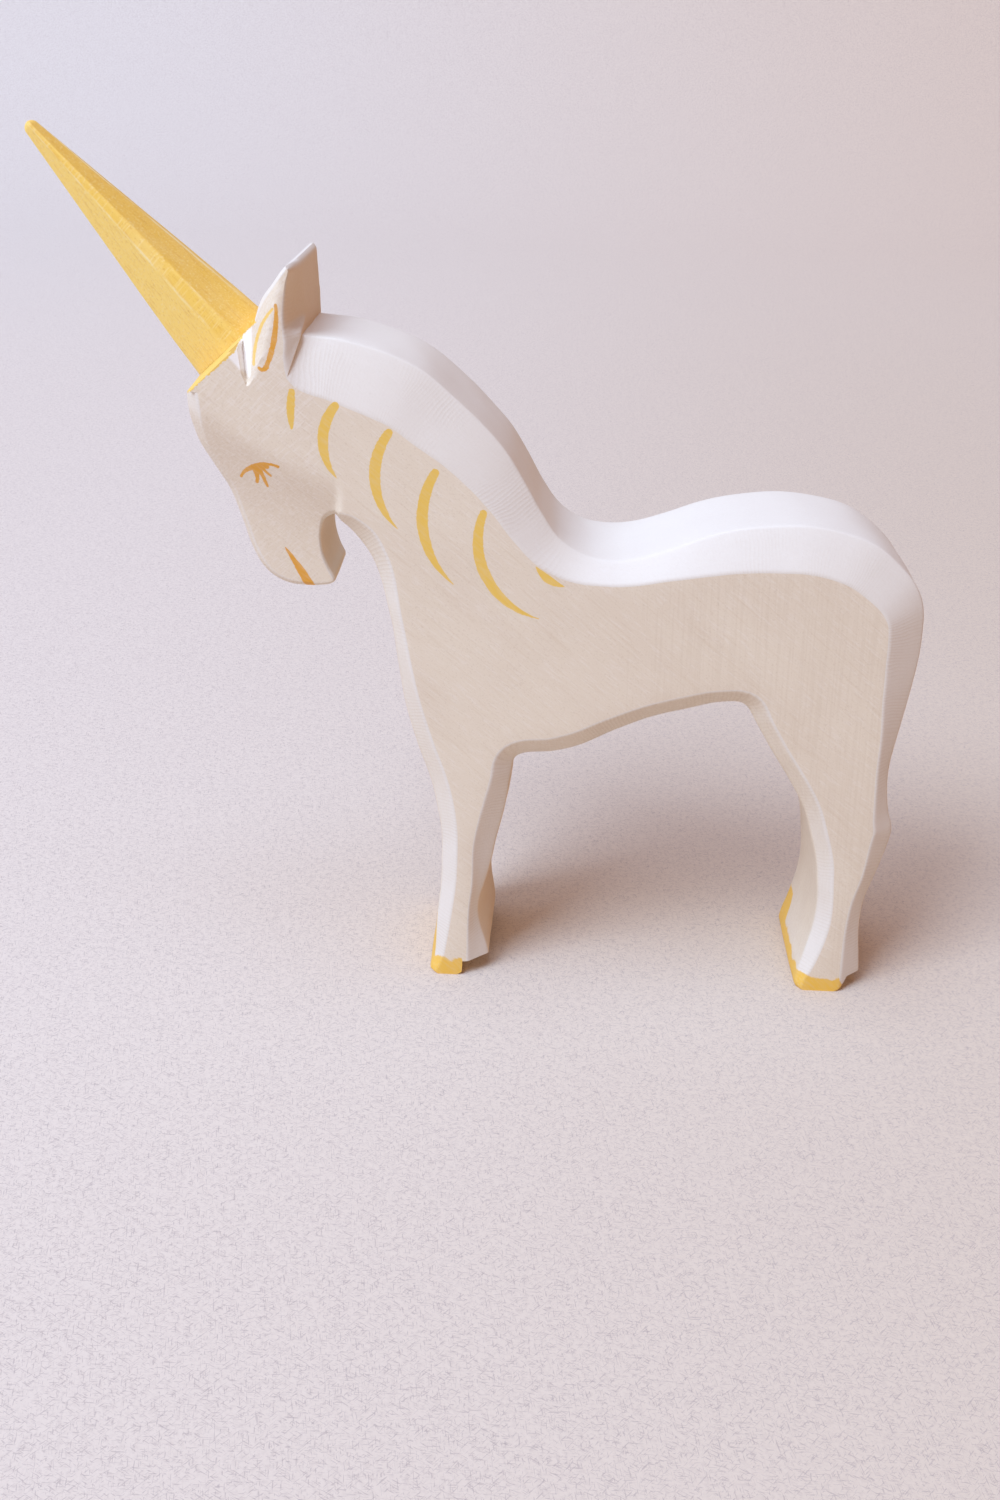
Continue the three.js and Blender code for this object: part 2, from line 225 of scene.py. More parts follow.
inner_lines = [inner_partners(stretch) for stretch in stretches]
mane_step = np.arange(len(stretches[3])) * outline_spacing
inner_lines[3] += np.exp(-(mane_step / notch_pull_reach) ** 2)[:, None] * (
    np.array(notch_fan[-1]) - inner_lines[3][0])
fan_outer = np.array([(*ear_notch, stretches[2][-1, 2])] * len(notch_fan))
outer = np.vstack(stretches[:3] + [fan_outer] + stretches[3:])
inner = np.vstack(inner_lines[:3] + [np.array(notch_fan)] + inner_lines[3:])
inner = gather_crossings(inner)
edge_length = length_along(outer)
print("outline", len(outer), "points,", round(edge_length[-1]), "mm round")

# %% [markdown]
# ## How thick the board is at each place
# The board is 25 mm thick, and the maker thins it in a few places. Both cheeks are hollowed below the brow,
# which leaves a narrow muzzle. The forehead stays flat up to a small ledge round the eight-sided foot of the
# horn, and between the horn and the ear a small fresh cut slopes down to it. A longer cut along the front of
# the ear ends in a point. Each cut is a small height field over the drawing, and a soft minimum joins them
# with a rounded shoulder, as sanding does.

# %% Measure the thickness field
horn_angle = math.radians(46.8)
horn_along = np.array([-math.cos(horn_angle), math.sin(horn_angle)])
horn_across = np.array([math.sin(horn_angle), math.cos(horn_angle)])
along_axis = (horn_along[0], 0.0, horn_along[1])
across_axis = (horn_across[0], 0.0, horn_across[1])
seat_middle = np.array([-39.6, 104.5])

# The hollow of the cheeks: the brow's line, how far the hollow runs below it, and where it ends
brow_front = np.array([-40.3, 94.2])
brow_back = np.array([-20.3, 84.4])
cheek_reach = 19.0
cheek_depth = 5.5
cheek_softness = 0.5
cheek_end = -22.0
cheek_end_slope = 2.5
cheek_end_roll = 0.15
jaw_low = 71.5
jaw_top = 74.5
jaw_drop = 10
jaw_fade = (0.2, 1.2)
brow_roll = 0.9
brow_roll_end = 12

# The ledge round the horn's foot, and the fresh cut beside the ear
foot_edge = 6.99
ledge_width = 0.35
crown_start = 1.45
crown_slope = 1.2
root_softness = 0.9
root_fade = (0.05, 0.1)
root_blend = 0.8

# The cut along the front of the ear, and the line where it stops, as (height, x)
ear_cut_line = [(101.0, -34.9), (106.85, -32.43), (112.88, -30.92), (118.0, -29.6)]
ear_stop_line = [(101.0, -34.95), (102.2, -35.5), (105.3, -36.1), (108.0, -36.6), (109.0, -60.0)]
ear_cut_slope = 0.92
ear_cut_low = (100.9, 101.6)
ear_cut_left = (-45, -44)
ear_slit = (0.45, 0.25)
ear_foot = 101.0
thinnest_flat = 0.6

# The eight sides of the horn's foot, as outward directions (across, side) and distances in mm
horn_sides = [
    (1, 0, 7), (-1, 0, 7), (0, 1, 8.9), (0, -1, 8.9),
    (0.931, 0.365, 6.88), (0.931, -0.365, 6.88), (-0.625, 0.781, 6.18), (-0.625, -0.781, 6.18),
]
foot_crispness = 16.0
foot_samples = 721


def foot_half_thickness(across):
    """Half the thickness of the horn's foot, at a distance across its axis."""
    angle = np.linspace(0, math.pi, foot_samples)
    total = np.zeros_like(angle)
    for side_across, side_out, distance in horn_sides:
        reach = (np.cos(angle) * side_across + np.sin(angle) * side_out) / distance
        total += np.maximum(reach, 0) ** foot_crispness
    radius = total ** (-1 / foot_crispness)
    places, halves = (radius * np.cos(angle))[::-1], (radius * np.sin(angle))[::-1]
    return np.interp(across, places, halves, left=0.0, right=0.0)


def soft_minimum(a, b, softness):
    """The smaller of two heights, with the corner between them rounded."""
    mix = np.clip(0.5 + 0.5 * (b - a) / softness, 0, 1)
    return b + (a - b) * mix - softness * mix * (1 - mix)


def fade_in(value, low, high):
    """Nothing below the low value, all above the high one, and a smooth rise between them."""
    t = np.clip((value - low) / (high - low), 0, 1)
    return t * t * (3 - 2 * t)


def fade_out(value, low, high):
    return fade_in(-value, -high, -low)


def along_line(z, line):
    """The x at each height on a line of points with rising heights."""
    return np.interp(z, [point[0] for point in line], [point[1] for point in line])


def half_thickness(x, z):
    """Half the board's thickness in mm at places of the drawing."""
    brow = (brow_back - brow_front) / np.linalg.norm(brow_back - brow_front)
    below = (x - brow_front[0]) * brow[1] - (z - brow_front[1]) * brow[0]
    rolled = brow_roll * np.log1p(np.exp(np.minimum(below, brow_roll_end) / brow_roll))
    below = np.minimum(np.where(below < brow_roll_end, rolled, below), cheek_reach)
    radius = (cheek_reach ** 2 + cheek_depth ** 2) / (2 * cheek_depth)
    hollow = cheek_depth - (radius - np.sqrt(radius ** 2 - (cheek_reach - below) ** 2))
    throat = np.logaddexp(0, (cheek_end - x) / cheek_end_roll) * cheek_end_roll * cheek_end_slope
    throat = throat + jaw_drop * fade_out(z, jaw_low, jaw_top) * fade_in(cheek_end - x, *jaw_fade)
    half = board_half - soft_minimum(hollow, throat, cheek_softness)

    behind = -((x - seat_middle[0]) * horn_along[0] + (z - seat_middle[1]) * horn_along[1])
    across = (x - seat_middle[0]) * horn_across[0] + (z - seat_middle[1]) * horn_across[1]
    foot = foot_half_thickness(np.clip(across, -foot_edge, foot_edge))
    ledge = foot + (board_half - foot) * np.maximum(behind / ledge_width, 0)
    crown = board_half + root_softness - crown_slope * np.maximum(across - crown_start, 0)
    stop = along_line(z, ear_stop_line)
    fade_width = root_fade[1] + root_blend * np.maximum(ear_foot - z, 0)
    at_root = 1 - fade_in(x, stop - root_fade[0], stop + fade_width)
    half = half + (soft_minimum(half, np.minimum(ledge, crown), root_softness) - half) * at_root

    cut = np.maximum(along_line(z, ear_cut_line) - x, 0) * ear_cut_slope
    cut *= fade_in(x, stop - ear_slit[0], stop - ear_slit[1]) * fade_in(z, *ear_cut_low)
    cut *= fade_in(x, *ear_cut_left)
    return np.maximum(np.minimum(half, board_half - cut), thinnest_flat)


muzzle = half_thickness(np.array(-33.0), np.array(74.0))
print("muzzle", round(2 * float(muzzle), 1), "mm thick")

# %% [markdown]
# ## Carving the body
# The side view of the board is closed, so the body can be built like a rope of rings: one ring of points on
# the flat face, a few down the knife cut, a few through the thickness, and the same on the other side. The
# two corners of each cut are rounded by a third of a millimetre with a small Bezier curve, because sanded
# wood has no sharp edge. The flat faces are filled with a constrained Delaunay triangulation, which takes
# extra points where the wood is hollowed.

# %% Lay out the rings of the body
deepest_cut = 3.2
sanded_corner = 0.34
wall_rings = 7
knife_rings = 3
corner_share = 0.3
thinnest_edge = 0.4
ear_slant = 5.5
slant_heights = (108.2, 110.2)
slant_start = (-29.2, -28.5)
slant_end = (-27, -26.5)
leg_lean_near = -1.3
leg_lean_far = 0.5
leg_back = (-2.5, 2.5)
past_leg = (7, 12)
above_sole = (0, 12)
below_trunk = (24, 42)
smallest_width = 1e-6


def cut_depth(width):
    """How deep a knife cut goes down the edge: less and less for a wider cut."""
    return deepest_cut * np.tanh(width / deepest_cut)


def ear_back_slant():
    """The extra depth of the near cut behind the ear, which slants far round the edge."""
    behind_ear = fade_in(outer[:, 0], *slant_start) * fade_out(outer[:, 0], *slant_end)
    return ear_slant * fade_in(outer[:, 1], *slant_heights) * behind_ear


def lean_of_front_leg(x, z):
    """The share of the lean at a place: all on the back of the front leg, and none beside it."""
    on_back = fade_in(x, *leg_back) * fade_out(x, *past_leg)
    return on_back * fade_in(z, *above_sole) * fade_out(z, *below_trunk)


def profile_rows(width):
    """Rows of (share of the way in, drop below the flat) for one side."""
    width = np.maximum(width, smallest_width)
    round_off = np.minimum(sanded_corner, corner_share * width) / width
    depth = cut_depth(width)
    upper = 1 - round_off
    rows = []

    def on_cut(share):
        return share, depth * (1 - share / upper)

    def bend(first, middle, last):
        for t in (0.0, 0.25, 0.5, 0.75, 1.0):
            keep, turn, leave = (1 - t) ** 2, 2 * t * (1 - t), t ** 2
            rows.append([keep * a + turn * b + leave * c for a, b, c in zip(first, middle, last)])

    nothing = np.zeros_like(width)
    bend((np.ones_like(width), nothing), (upper, nothing), on_cut(1 - 2 * round_off))
    for k in range(1, knife_rings):
        share = (1 - 2 * round_off) + (3 * round_off - 1) * k / knife_rings
        rows.append(list(on_cut(share)))
    bend(on_cut(round_off), (nothing, depth), (nothing, depth + round_off * width))
    return rows


def carved_wobble(points, scale, strength, seed):
    """A slow unevenness left by the knife, in mm."""
    return np.array([
        noise.noise(Vector((p[0] / scale, p[1] / scale, p[2] / scale + seed))) for p in points
    ]) * strength


def body_rings():
    """Rings of (places in the drawing, y) from the near flat face to the far one."""
    width = outer[:, 2]
    slant = 1 + ear_back_slant() / np.maximum(cut_depth(width), smallest_width)
    rings = []
    far = []
    for share, drop in profile_rows(width):
        share = share[:, None]
        plan = outer[:, :2] * (1 - share) + inner * share
        half = half_thickness(plan[:, 0], plan[:, 1])
        rings.append((plan, -np.maximum(half - drop * slant, thinnest_edge)))
        far.append((plan, np.maximum(half - drop, thinnest_edge)))
    wall_plan, near_y = rings[-1]
    far_y = far[-1][1]
    for k in range(1, wall_rings):
        rings.append((wall_plan, near_y + (far_y - near_y) * k / wall_rings))
    return rings + far[::-1]


rings = body_rings()
print(len(rings), "rings of", len(outer), "points")

# %% Fill the flat faces
flat_grid = 1.7
head_grid = 0.55
head_corner = (-17.0, 64.0)
flat_clearance = 0.55
head_clearance = 0.6
row_clearance = 0.2
ledge_rows = (ledge_width, ledge_width + 0.25, ledge_width + 0.7)
ledge_span = (-7.0, 5.0)
slit_rows = (0.5, 0.2)
slit_span = (100.8, 108.0)
slit_clearance = 0.3
row_height = 0.866
same_place = 1e-4
fill_tolerance = 1e-5
part_length = 200


def inside_polygon(points, polygon):
    """True for each point inside the closed polygon."""
    inside = np.zeros(len(points), dtype=bool)
    x, z = points[:, 0], points[:, 1]
    for a, b in zip(polygon, np.roll(polygon, -1, axis=0)):
        if a[1] == b[1]:
            continue
        meets = (b[0] - a[0]) * (z - a[1]) / (b[1] - a[1]) + a[0]
        inside ^= ((a[1] > z) != (b[1] > z)) & (x < meets)
    return inside


def distance_to_line(points, line):
    """Distance from each point to the nearest vertex of a closely spaced line."""
    nearest = np.full(len(points), np.inf)
    for start in range(0, len(line), part_length):
        part = line[start:start + part_length]
        gap = np.linalg.norm(points[:, None, :] - part[None, :, :], axis=2)
        nearest = np.minimum(nearest, gap.min(axis=1))
    return nearest


def grid_points(low, high, step):
    """Points in rows, each row moved on by half a step."""
    xs = np.arange(low[0], high[0], step)
    zs = np.arange(low[1], high[1], step * row_height)
    grid = np.stack(np.meshgrid(xs, zs), axis=2)
    grid[1::2, :, 0] += step / 2
    return grid.reshape(-1, 2)


def fill_flat(border):
    """Triangles inside the border, finer on the head, as points and index triples."""
    border = border[np.linalg.norm(border - np.roll(border, 1, axis=0), axis=1) > same_place]
    low, high = border.min(axis=0), border.max(axis=0)
    coarse = grid_points(low, high, flat_grid)
    on_head = (coarse[:, 0] < head_corner[0]) & (coarse[:, 1] > head_corner[1])
    fine = grid_points((low[0], head_corner[1]), (head_corner[0], high[1]), head_grid)
    head_margin = head_grid * head_clearance
    kept = []
    for points, margin in ((coarse[~on_head], flat_grid * flat_clearance), (fine, head_margin)):
        points = points[inside_polygon(points, border)]
        kept.append(points[distance_to_line(points, border) > margin])
    rows = np.array([
        seat_middle + horn_across * across - horn_along * behind
        for behind in ledge_rows for across in np.arange(*ledge_span, head_grid)
    ])
    heights = np.arange(*slit_span, head_grid)
    slit = [np.stack([along_line(heights, ear_stop_line) - gap, heights], axis=1) for gap in slit_rows]
    rows = np.vstack([rows] + [points[distance_to_line(points, rows) > slit_clearance] for points in slit])
    rows = rows[inside_polygon(rows, border)]
    rows = rows[distance_to_line(rows, border) > row_clearance]
    kept = [points[distance_to_line(points, rows) > head_margin] for points in kept]
    points = np.vstack([border, rows] + kept)
    loop = list(range(len(border)))[::-1]
    found = delaunay_2d_cdt([Vector(p) for p in points], [], [loop], 1, fill_tolerance)
    return np.array([tuple(v) for v in found[0]]), found[2]


flat_points, flat_faces = fill_flat(rings[0][0])
print("flat face:", len(flat_points), "points,", len(flat_faces), "triangles")

# %% Join the rings and faces into one mesh
wobble_length = 7.0
wobble = 0.16
side_wobble_length = 11.0
side_wobble = 0.12
wobble_seeds = (0.0, 31.0, 63.0)
seat_calm = 3
calm_height = 96
weld_gap = 0.004
sliver = 0.001


def shaped(points):
    """The small departures of hand work: a leaning leg and a slow unevenness, in mm."""
    out = points.copy()
    lean = lean_of_front_leg(points[:, 0], points[:, 2])
    side = (points[:, 1] / board_half + 1) / 2
    out[:, 0] += lean * (leg_lean_near * (1 - side) + leg_lean_far * side)
    from_seat = np.abs((points[:, 0] - seat_middle[0]) * horn_along[0]
                       + (points[:, 2] - seat_middle[1]) * horn_along[1])
    calm = np.where((from_seat < seat_calm) & (points[:, 2] > calm_height), 0.0, 1.0)
    outward = calm * np.sign(points[:, 1])
    out[:, 0] += carved_wobble(points, wobble_length, wobble, wobble_seeds[0]) * calm
    out[:, 2] += carved_wobble(points, wobble_length, wobble, wobble_seeds[1]) * calm
    out[:, 1] += carved_wobble(points, side_wobble_length, side_wobble, wobble_seeds[2]) * outward
    out[:, 0] += drawing_shift
    return out


def build_body_mesh():
    """The board as a closed mesh, with a map of the distances round its outline and across its cuts."""
    count = len(outer)
    mesh = bpy.data.meshes.new("body_carved")
    bm = bmesh.new()
    uv = bm.loops.layers.uv.new("edge")
    profile = [np.zeros(count)]
    for (plan_a, y_a), (plan_b, y_b) in zip(rings, rings[1:]):
        profile.append(profile[-1] + np.sqrt(((plan_b - plan_a) ** 2).sum(axis=1) + (y_b - y_a) ** 2))
    ring_verts = []
    for plan, y in rings:
        points = shaped(np.stack([plan[:, 0], y, plan[:, 1]], axis=1))
        ring_verts.append([bm.verts.new(point * MM) for point in points])
    for r in range(len(rings) - 1):
        for i in range(count):
            j = (i + 1) % count
            corners = [(i, r), (j, r), (j, r + 1), (i, r + 1)]
            face = bm.faces.new([ring_verts[row][where] for where, row in corners])
            for loop, (where, row) in zip(face.loops, corners):
                loop[uv].uv = (edge_length[where], profile[row][where])
    for side in (-1, 1):
        half = half_thickness(flat_points[:, 0], flat_points[:, 1])
        points = np.stack([flat_points[:, 0], side * half, flat_points[:, 1]], axis=1)
        verts = [bm.verts.new(point * MM) for point in shaped(points)]
        for a, b, c in flat_faces:
            corners = (a, b, c) if side < 0 else (a, c, b)
            face = bm.faces.new([verts[k] for k in corners])
            for loop in face.loops:
                loop[uv].uv = (0.0, -1.0)
    bmesh.ops.remove_doubles(bm, verts=bm.verts, dist=weld_gap * MM)
    bmesh.ops.dissolve_degenerate(bm, edges=bm.edges, dist=sliver * MM)
    bmesh.ops.recalc_face_normals(bm, faces=bm.faces)
    bm.to_mesh(mesh)
    bm.free()
    return mesh


body = bpy.data.objects.new("body_carved", build_body_mesh())
scene.collection.objects.link(body)
print("body:", len(body.data.vertices), "points,", len(body.data.polygons), "faces")

# %% [markdown]
# ## Soles, heels and the hole for the dowel
# The legs were drawn too long on purpose. The maker stands the toy on sandpaper and rubs both hooves flat,
# so the soles end at one level. A notch behind each sole lifts the heel. A bored hole in the forehead takes
# the dowel of the horn. An exact boolean does all three with one cutter.

# %% Cut the soles, the heels and the bore
heel_notches = [(-1.8, 0.0), (63.2, 1.4)]
heel_reach = 8.0
heel_low = 2.7
heel_high = 3.3
bore_radius = 3.3
bore_bottom = 11.8
sole_round = 1.0
sole_round_share = 0.8
soles = [(-4.7, 2.9), (59.4, 3.9)]
leg_divide = 30.0
cutter_half = 20
cutter_ends = (-100.0, 100.0)
cutter_floor = -16.0
bore_overrun = 6.0
bore_turns = 48
sharp_edge = 32


def floor_cutter_outline():
    """The side view of what the floor and the two heel notches take away."""
    left, right = cutter_ends
    line = [(left, cutter_floor), (right, cutter_floor), (right, 0.0)]
    for back, lean in reversed(heel_notches):
        front = back + heel_reach
        line += [(front, 0.0), (front, heel_high), (back + lean, heel_low), (back, 0.0)]
    return line + [(left, 0.0)]


def bore_circle(distance):
    """Places on the wall of the dowel's bore, at a distance past the seat of the horn."""
    places = []
    for k in range(bore_turns):
        angle = 2 * math.pi * k / bore_turns
        plan = seat_middle + horn_along * distance + horn_across * bore_radius * math.cos(angle)
        places.append((plan[0] + drawing_shift, bore_radius * math.sin(angle), plan[1]))
    return places


def add_prism(bm, near, far):
    """Close the space between two matching loops of places in mm."""
    near, far = [[bm.verts.new(Vector(place) * MM) for place in loop] for loop in (near, far)]
    bm.faces.new(near)
    bm.faces.new(far[::-1])
    for i in range(len(near)):
        j = (i + 1) % len(near)
        bm.faces.new([near[j], near[i], far[i], far[j]])


def build_cutter():
    bm = bmesh.new()
    line = floor_cutter_outline()
    add_prism(bm, *[[(x + drawing_shift, y, z) for x, z in line] for y in (-cutter_half, cutter_half)])
    add_prism(bm, bore_circle(bore_overrun), bore_circle(-bore_bottom))
    bmesh.ops.recalc_face_normals(bm, faces=bm.faces)
    mesh = bpy.data.meshes.new("cutter")
    bm.to_mesh(mesh)
    bm.free()
    return bpy.data.objects.new("cutter", mesh)


def work_in_modifiers(piece):
    """Give the piece the mesh that its modifiers make, and take them off."""
    depsgraph = bpy.context.evaluated_depsgraph_get()
    mesh = bpy.data.meshes.new_from_object(piece.evaluated_get(depsgraph))
    piece.modifiers.clear()
    piece.data = mesh


def shade_smoothly(mesh, sharp_angle):
    """Shade a mesh smoothly but for its edges sharper than the angle in degrees."""
    mesh.polygons.foreach_set("use_smooth", [True] * len(mesh.polygons))
    mesh.set_sharp_from_angle(angle=math.radians(sharp_angle))


def round_soles(mesh):
    """Draw in the lowest millimetre of each leg in a quarter round, as sandpaper leaves it."""
    for vertex in mesh.vertices:
        height = vertex.co.z / MM
        if height < sole_round:
            middle, half_width = soles[0] if vertex.co.x < leg_divide * MM else soles[1]
            rise = 1 - max(height, 0) / sole_round
            inset = sole_round * (1 - math.sqrt(1 - rise ** 2)) * sole_round_share
            middle = (middle + drawing_shift) * MM
            vertex.co.x = middle + (vertex.co.x - middle) * (1 - inset / half_width)


cutter = build_cutter()
scene.collection.objects.link(cutter)
cut = body.modifiers.new("cut", "BOOLEAN")
cut.operation = "DIFFERENCE"
cut.solver = "EXACT"
cut.object = cutter
work_in_modifiers(body)
round_soles(body.data)
bpy.data.objects.remove(cutter)
shade_smoothly(body.data, sharp_edge)
print("cut body:", len(body.data.polygons), "faces")

# %% [markdown]
# ## The horn
# The real horn is whittled: four wide facets and narrow flats between them, tapering straight to a blunt
# point, with the ridges sanded away near the foot. That is a rule, so Geometry Nodes make it. A cylinder
# is the blank. Each facet is a direction and a distance, and adding up how far a point reaches towards
# every facet, raised to a high power, gives the radius of a section whose corners are as crisp as the
# power is high. The same sum makes the forehead's foot, so the two meet without a step. How close a point
# is to a ridge is kept on the mesh as an attribute, for the stain that is rubbed thin there.

# %% One function for every node
def add_node(tree, kind, *values, **settings):
    """Add a node. A word ahead of the values is its operation, and the values fill its sockets in order.
    A setting names an option or, with a capital, a socket. A socket gets a value or a link from a node."""
    made = tree.nodes.new(kind if kind.startswith(("Geometry", "NodeGroup")) else "ShaderNode" + kind)
    if values and isinstance(values[0], str):
        made.operation, *values = values
    for name, value in [*settings.items(), *enumerate(values)]:
        if isinstance(name, str) and hasattr(made, name):
            setattr(made, name, value)
            continue
        socket = made.inputs[name.replace("_", " ") if isinstance(name, str) else name]
        if isinstance(value, bpy.types.Node):
            value = value.outputs[0]
        if isinstance(value, bpy.types.NodeSocket):
            tree.links.new(value, socket)
        elif value is not None:
            socket.default_value = value
    return made


horn_length = 42.2
horn_tip = 1.9
horn_base_height = 14.0
horn_inputs = {
    "Length": horn_length * MM,
    "Foot radius": horn_base_height / 2 * MM,
    "Tip radius": horn_tip / 2 * MM,
    "Foot crispness": foot_crispness,
    "Ridge crispness": 70.0,
    "Bore radius": bore_radius * MM,
    "Bore depth": bore_bottom * MM,
    "Unevenness": 0.012,
    "Lift": 0.02 * MM,
}
horn_blank = {"Vertices": 208, "Side_Segments": 96}
taper_power = 1.8
ridge_fade = 0.35
grain_stretch = (1.0, 1.0, 6.0)
grain_scale = 2.2
smallest_reach = 1e-3
smallest_sum = 1e-9
weld_distance = 0.002 * MM
sharp_ridge = 40
print("horn:", horn_length, "mm long,", horn_base_height, "mm high at its foot")


# %% The horn's section and taper
def facet_sum(tree, aim, crispness):
    """The sum of the powers of all facet reaches, and the largest of them."""
    total = largest = None
    for side_across, side_out, distance in horn_sides:
        scaled = tuple(part * horn_base_height / 2 / distance for part in (side_across, side_out, 0.0))
        reach = add_node(tree, "VectorMath", "DOT_PRODUCT", aim, scaled)
        ahead = add_node(tree, "Math", "MAXIMUM", reach.outputs["Value"], smallest_reach)
        grown = add_node(tree, "Math", "POWER", ahead, crispness)
        if total is None:
            total = largest = grown
            continue
        total = add_node(tree, "Math", "ADD", total, grown)
        largest = add_node(tree, "Math", "MAXIMUM", largest, grown)
    return [add_node(tree, "Math", "MAXIMUM", amount, smallest_sum) for amount in (total, largest)]


def round_tip(tree, spread, given):
    """A factor that closes the point as part of a ball."""
    left = add_node(tree, "Math", "SUBTRACT", 1.0, spread)
    to_tip = add_node(tree, "Math", "MULTIPLY", left, given["Length"])
    share = add_node(tree, "Math", "DIVIDE", to_tip, given["Tip radius"])
    short = add_node(tree, "Math", "MINIMUM", share, 1.0)
    over = add_node(tree, "Math", "SUBTRACT", 1.0, short)
    square = add_node(tree, "Math", "POWER", over, 2.0)
    rest = add_node(tree, "Math", "SUBTRACT", 1.0, square)
    return add_node(tree, "Math", "SQRT", rest)


print(len(horn_sides), "facets on the horn")

# %% Build the horn with Geometry Nodes
def build_horn_tree(material):
    """A tree that makes the horn from a cylinder, with its ridges marked and the dowel's bore cut."""
    tree = bpy.data.node_groups.new("whittled_horn", "GeometryNodeTree")
    tree.interface.new_socket("Geometry", in_out="OUTPUT", socket_type="NodeSocketGeometry")
    for name, value in horn_inputs.items():
        socket = tree.interface.new_socket(name, in_out="INPUT", socket_type="NodeSocketFloat")
        socket.default_value = value
    given = add_node(tree, "NodeGroupInput").outputs
    blank = add_node(tree, "GeometryNodeMeshCylinder", fill_type="TRIANGLE_FAN", Radius=1.0, Depth=1.0,
        **horn_blank)
    place = add_node(tree, "GeometryNodeInputPosition")
    parts = add_node(tree, "SeparateXYZ", place).outputs
    left = add_node(tree, "Math", "SUBTRACT", 0.5, parts["Z"])
    eased = add_node(tree, "Math", "POWER", left, taper_power)
    spread = add_node(tree, "Math", "SUBTRACT", 1.0, eased)
    flat_place = add_node(tree, "CombineXYZ", X=parts["X"], Y=parts["Y"])
    rim = add_node(tree, "VectorMath", "LENGTH", flat_place).outputs["Value"]
    aim = add_node(tree, "VectorMath", "NORMALIZE", flat_place)
    fade = add_node(tree, "MapRange", interpolation_type="SMOOTHSTEP", Value=spread, From_Max=ridge_fade)
    crispness = add_node(tree, "MapRange", Value=fade, To_Min=given["Foot crispness"],
        To_Max=given["Ridge crispness"])
    total, largest = facet_sum(tree, aim, crispness)
    inverse = add_node(tree, "Math", "DIVIDE", -1.0, crispness)
    section = add_node(tree, "Math", "POWER", total, inverse)
    taper = add_node(tree, "MapRange", Value=spread, To_Min=given["Foot radius"],
        To_Max=given["Tip radius"])
    stretched = add_node(tree, "VectorMath", "MULTIPLY", place, grain_stretch)
    grain = add_node(tree, "TexNoise", Scale=grain_scale, Detail=1.0, Vector=stretched)
    centred = add_node(tree, "Math", "SUBTRACT", grain, 0.5)
    uneven = add_node(tree, "Math", "MULTIPLY", fade, given["Unevenness"])
    rough = add_node(tree, "Math", "MULTIPLY_ADD", centred, uneven, 1.0)
    radius = section
    for factor in (taper, rough, round_tip(tree, spread, given), rim):
        radius = add_node(tree, "Math", "MULTIPLY", radius, factor)
    around = add_node(tree, "SeparateXYZ", aim).outputs
    offset_across = add_node(tree, "Math", "MULTIPLY", around["X"], radius)
    offset_side = add_node(tree, "Math", "MULTIPLY", around["Y"], radius)
    distance = add_node(tree, "Math", "MULTIPLY_ADD", spread, given["Length"], given["Lift"])
    seat = ((seat_middle[0] + drawing_shift) * MM, 0.0, seat_middle[1] * MM)
    point = None
    steps = ((along_axis, distance), (across_axis, offset_across), ((0.0, 1.0, 0.0), offset_side))
    for direction, amount in steps:
        step = add_node(tree, "VectorMath", "SCALE", direction, Scale=amount)
        point = add_node(tree, "VectorMath", "ADD", seat if point is None else point, step)
    sharpness = add_node(tree, "Math", "DIVIDE", total, largest)
    ridge = add_node(tree, "Math", "SUBTRACT", sharpness, 1.0)
    crest = add_node(tree, "Math", "MULTIPLY", ridge, fade)
    marked = add_node(tree, "GeometryNodeStoreNamedAttribute", data_type="FLOAT", domain="POINT",
        Geometry=blank.outputs["Mesh"], Name="crest", Value=crest)
    carved = add_node(tree, "GeometryNodeSetPosition", Geometry=marked, Position=point)
    closed = add_node(tree, "GeometryNodeMergeByDistance", Geometry=carved, Distance=weld_distance)
    depth = add_node(tree, "Math", "MULTIPLY", given["Bore depth"], 2.0)
    drill = add_node(tree, "GeometryNodeMeshCylinder", Vertices=bore_turns,
        Radius=given["Bore radius"], Depth=depth)
    turned = add_node(tree, "GeometryNodeTransform", Geometry=drill.outputs["Mesh"], Translation=seat,
        Rotation=(0.0, horn_angle - math.pi / 2, 0.0))
    bored = add_node(tree, "GeometryNodeMeshBoolean", operation="DIFFERENCE", solver="EXACT", Mesh_1=closed,
        Mesh_2=turned)
    real = add_node(tree, "GeometryNodeRealizeInstances", Geometry=bored.outputs["Mesh"])
    stained = add_node(tree, "GeometryNodeSetMaterial", Geometry=real, Material=material)
    add_node(tree, "NodeGroupOutput", Geometry=stained)
    return tree


horn_stain = bpy.data.materials.new("stained_maple")
horn = bpy.data.objects.new("horn_whittled", bpy.data.meshes.new("horn_whittled"))
scene.collection.objects.link(horn)
horn_tree = build_horn_tree(horn_stain)
whittle = horn.modifiers.new("whittle", "NODES")
whittle.node_group = horn_tree
for item in horn_tree.interface.items_tree:
    if item.item_type == "SOCKET" and item.in_out == "INPUT":
        whittle[item.identifier] = horn_inputs[item.name]
work_in_modifiers(horn)
shade_smoothly(horn.data, sharp_ridge)
print("horn:", len(horn.data.polygons), "faces, kept:", [a.name for a in horn.data.attributes])

# %% [markdown]
# ## Colours
# Colours are written as sRGB hex, as a colour picker shows them, and one function turns them to the linear
# values that the renderer works with.

# %% Colours as linear values
def linear(hex_colour):
    """An sRGB hex colour as linear RGBA."""
    parts = [int(hex_colour[k:k + 2], 16) / 255 for k in (1, 3, 5)]
    return tuple(p / 12.92 if p <= 0.04045 else ((p + 0.055) / 1.055) ** 2.4 for p in parts) + (1.0,)


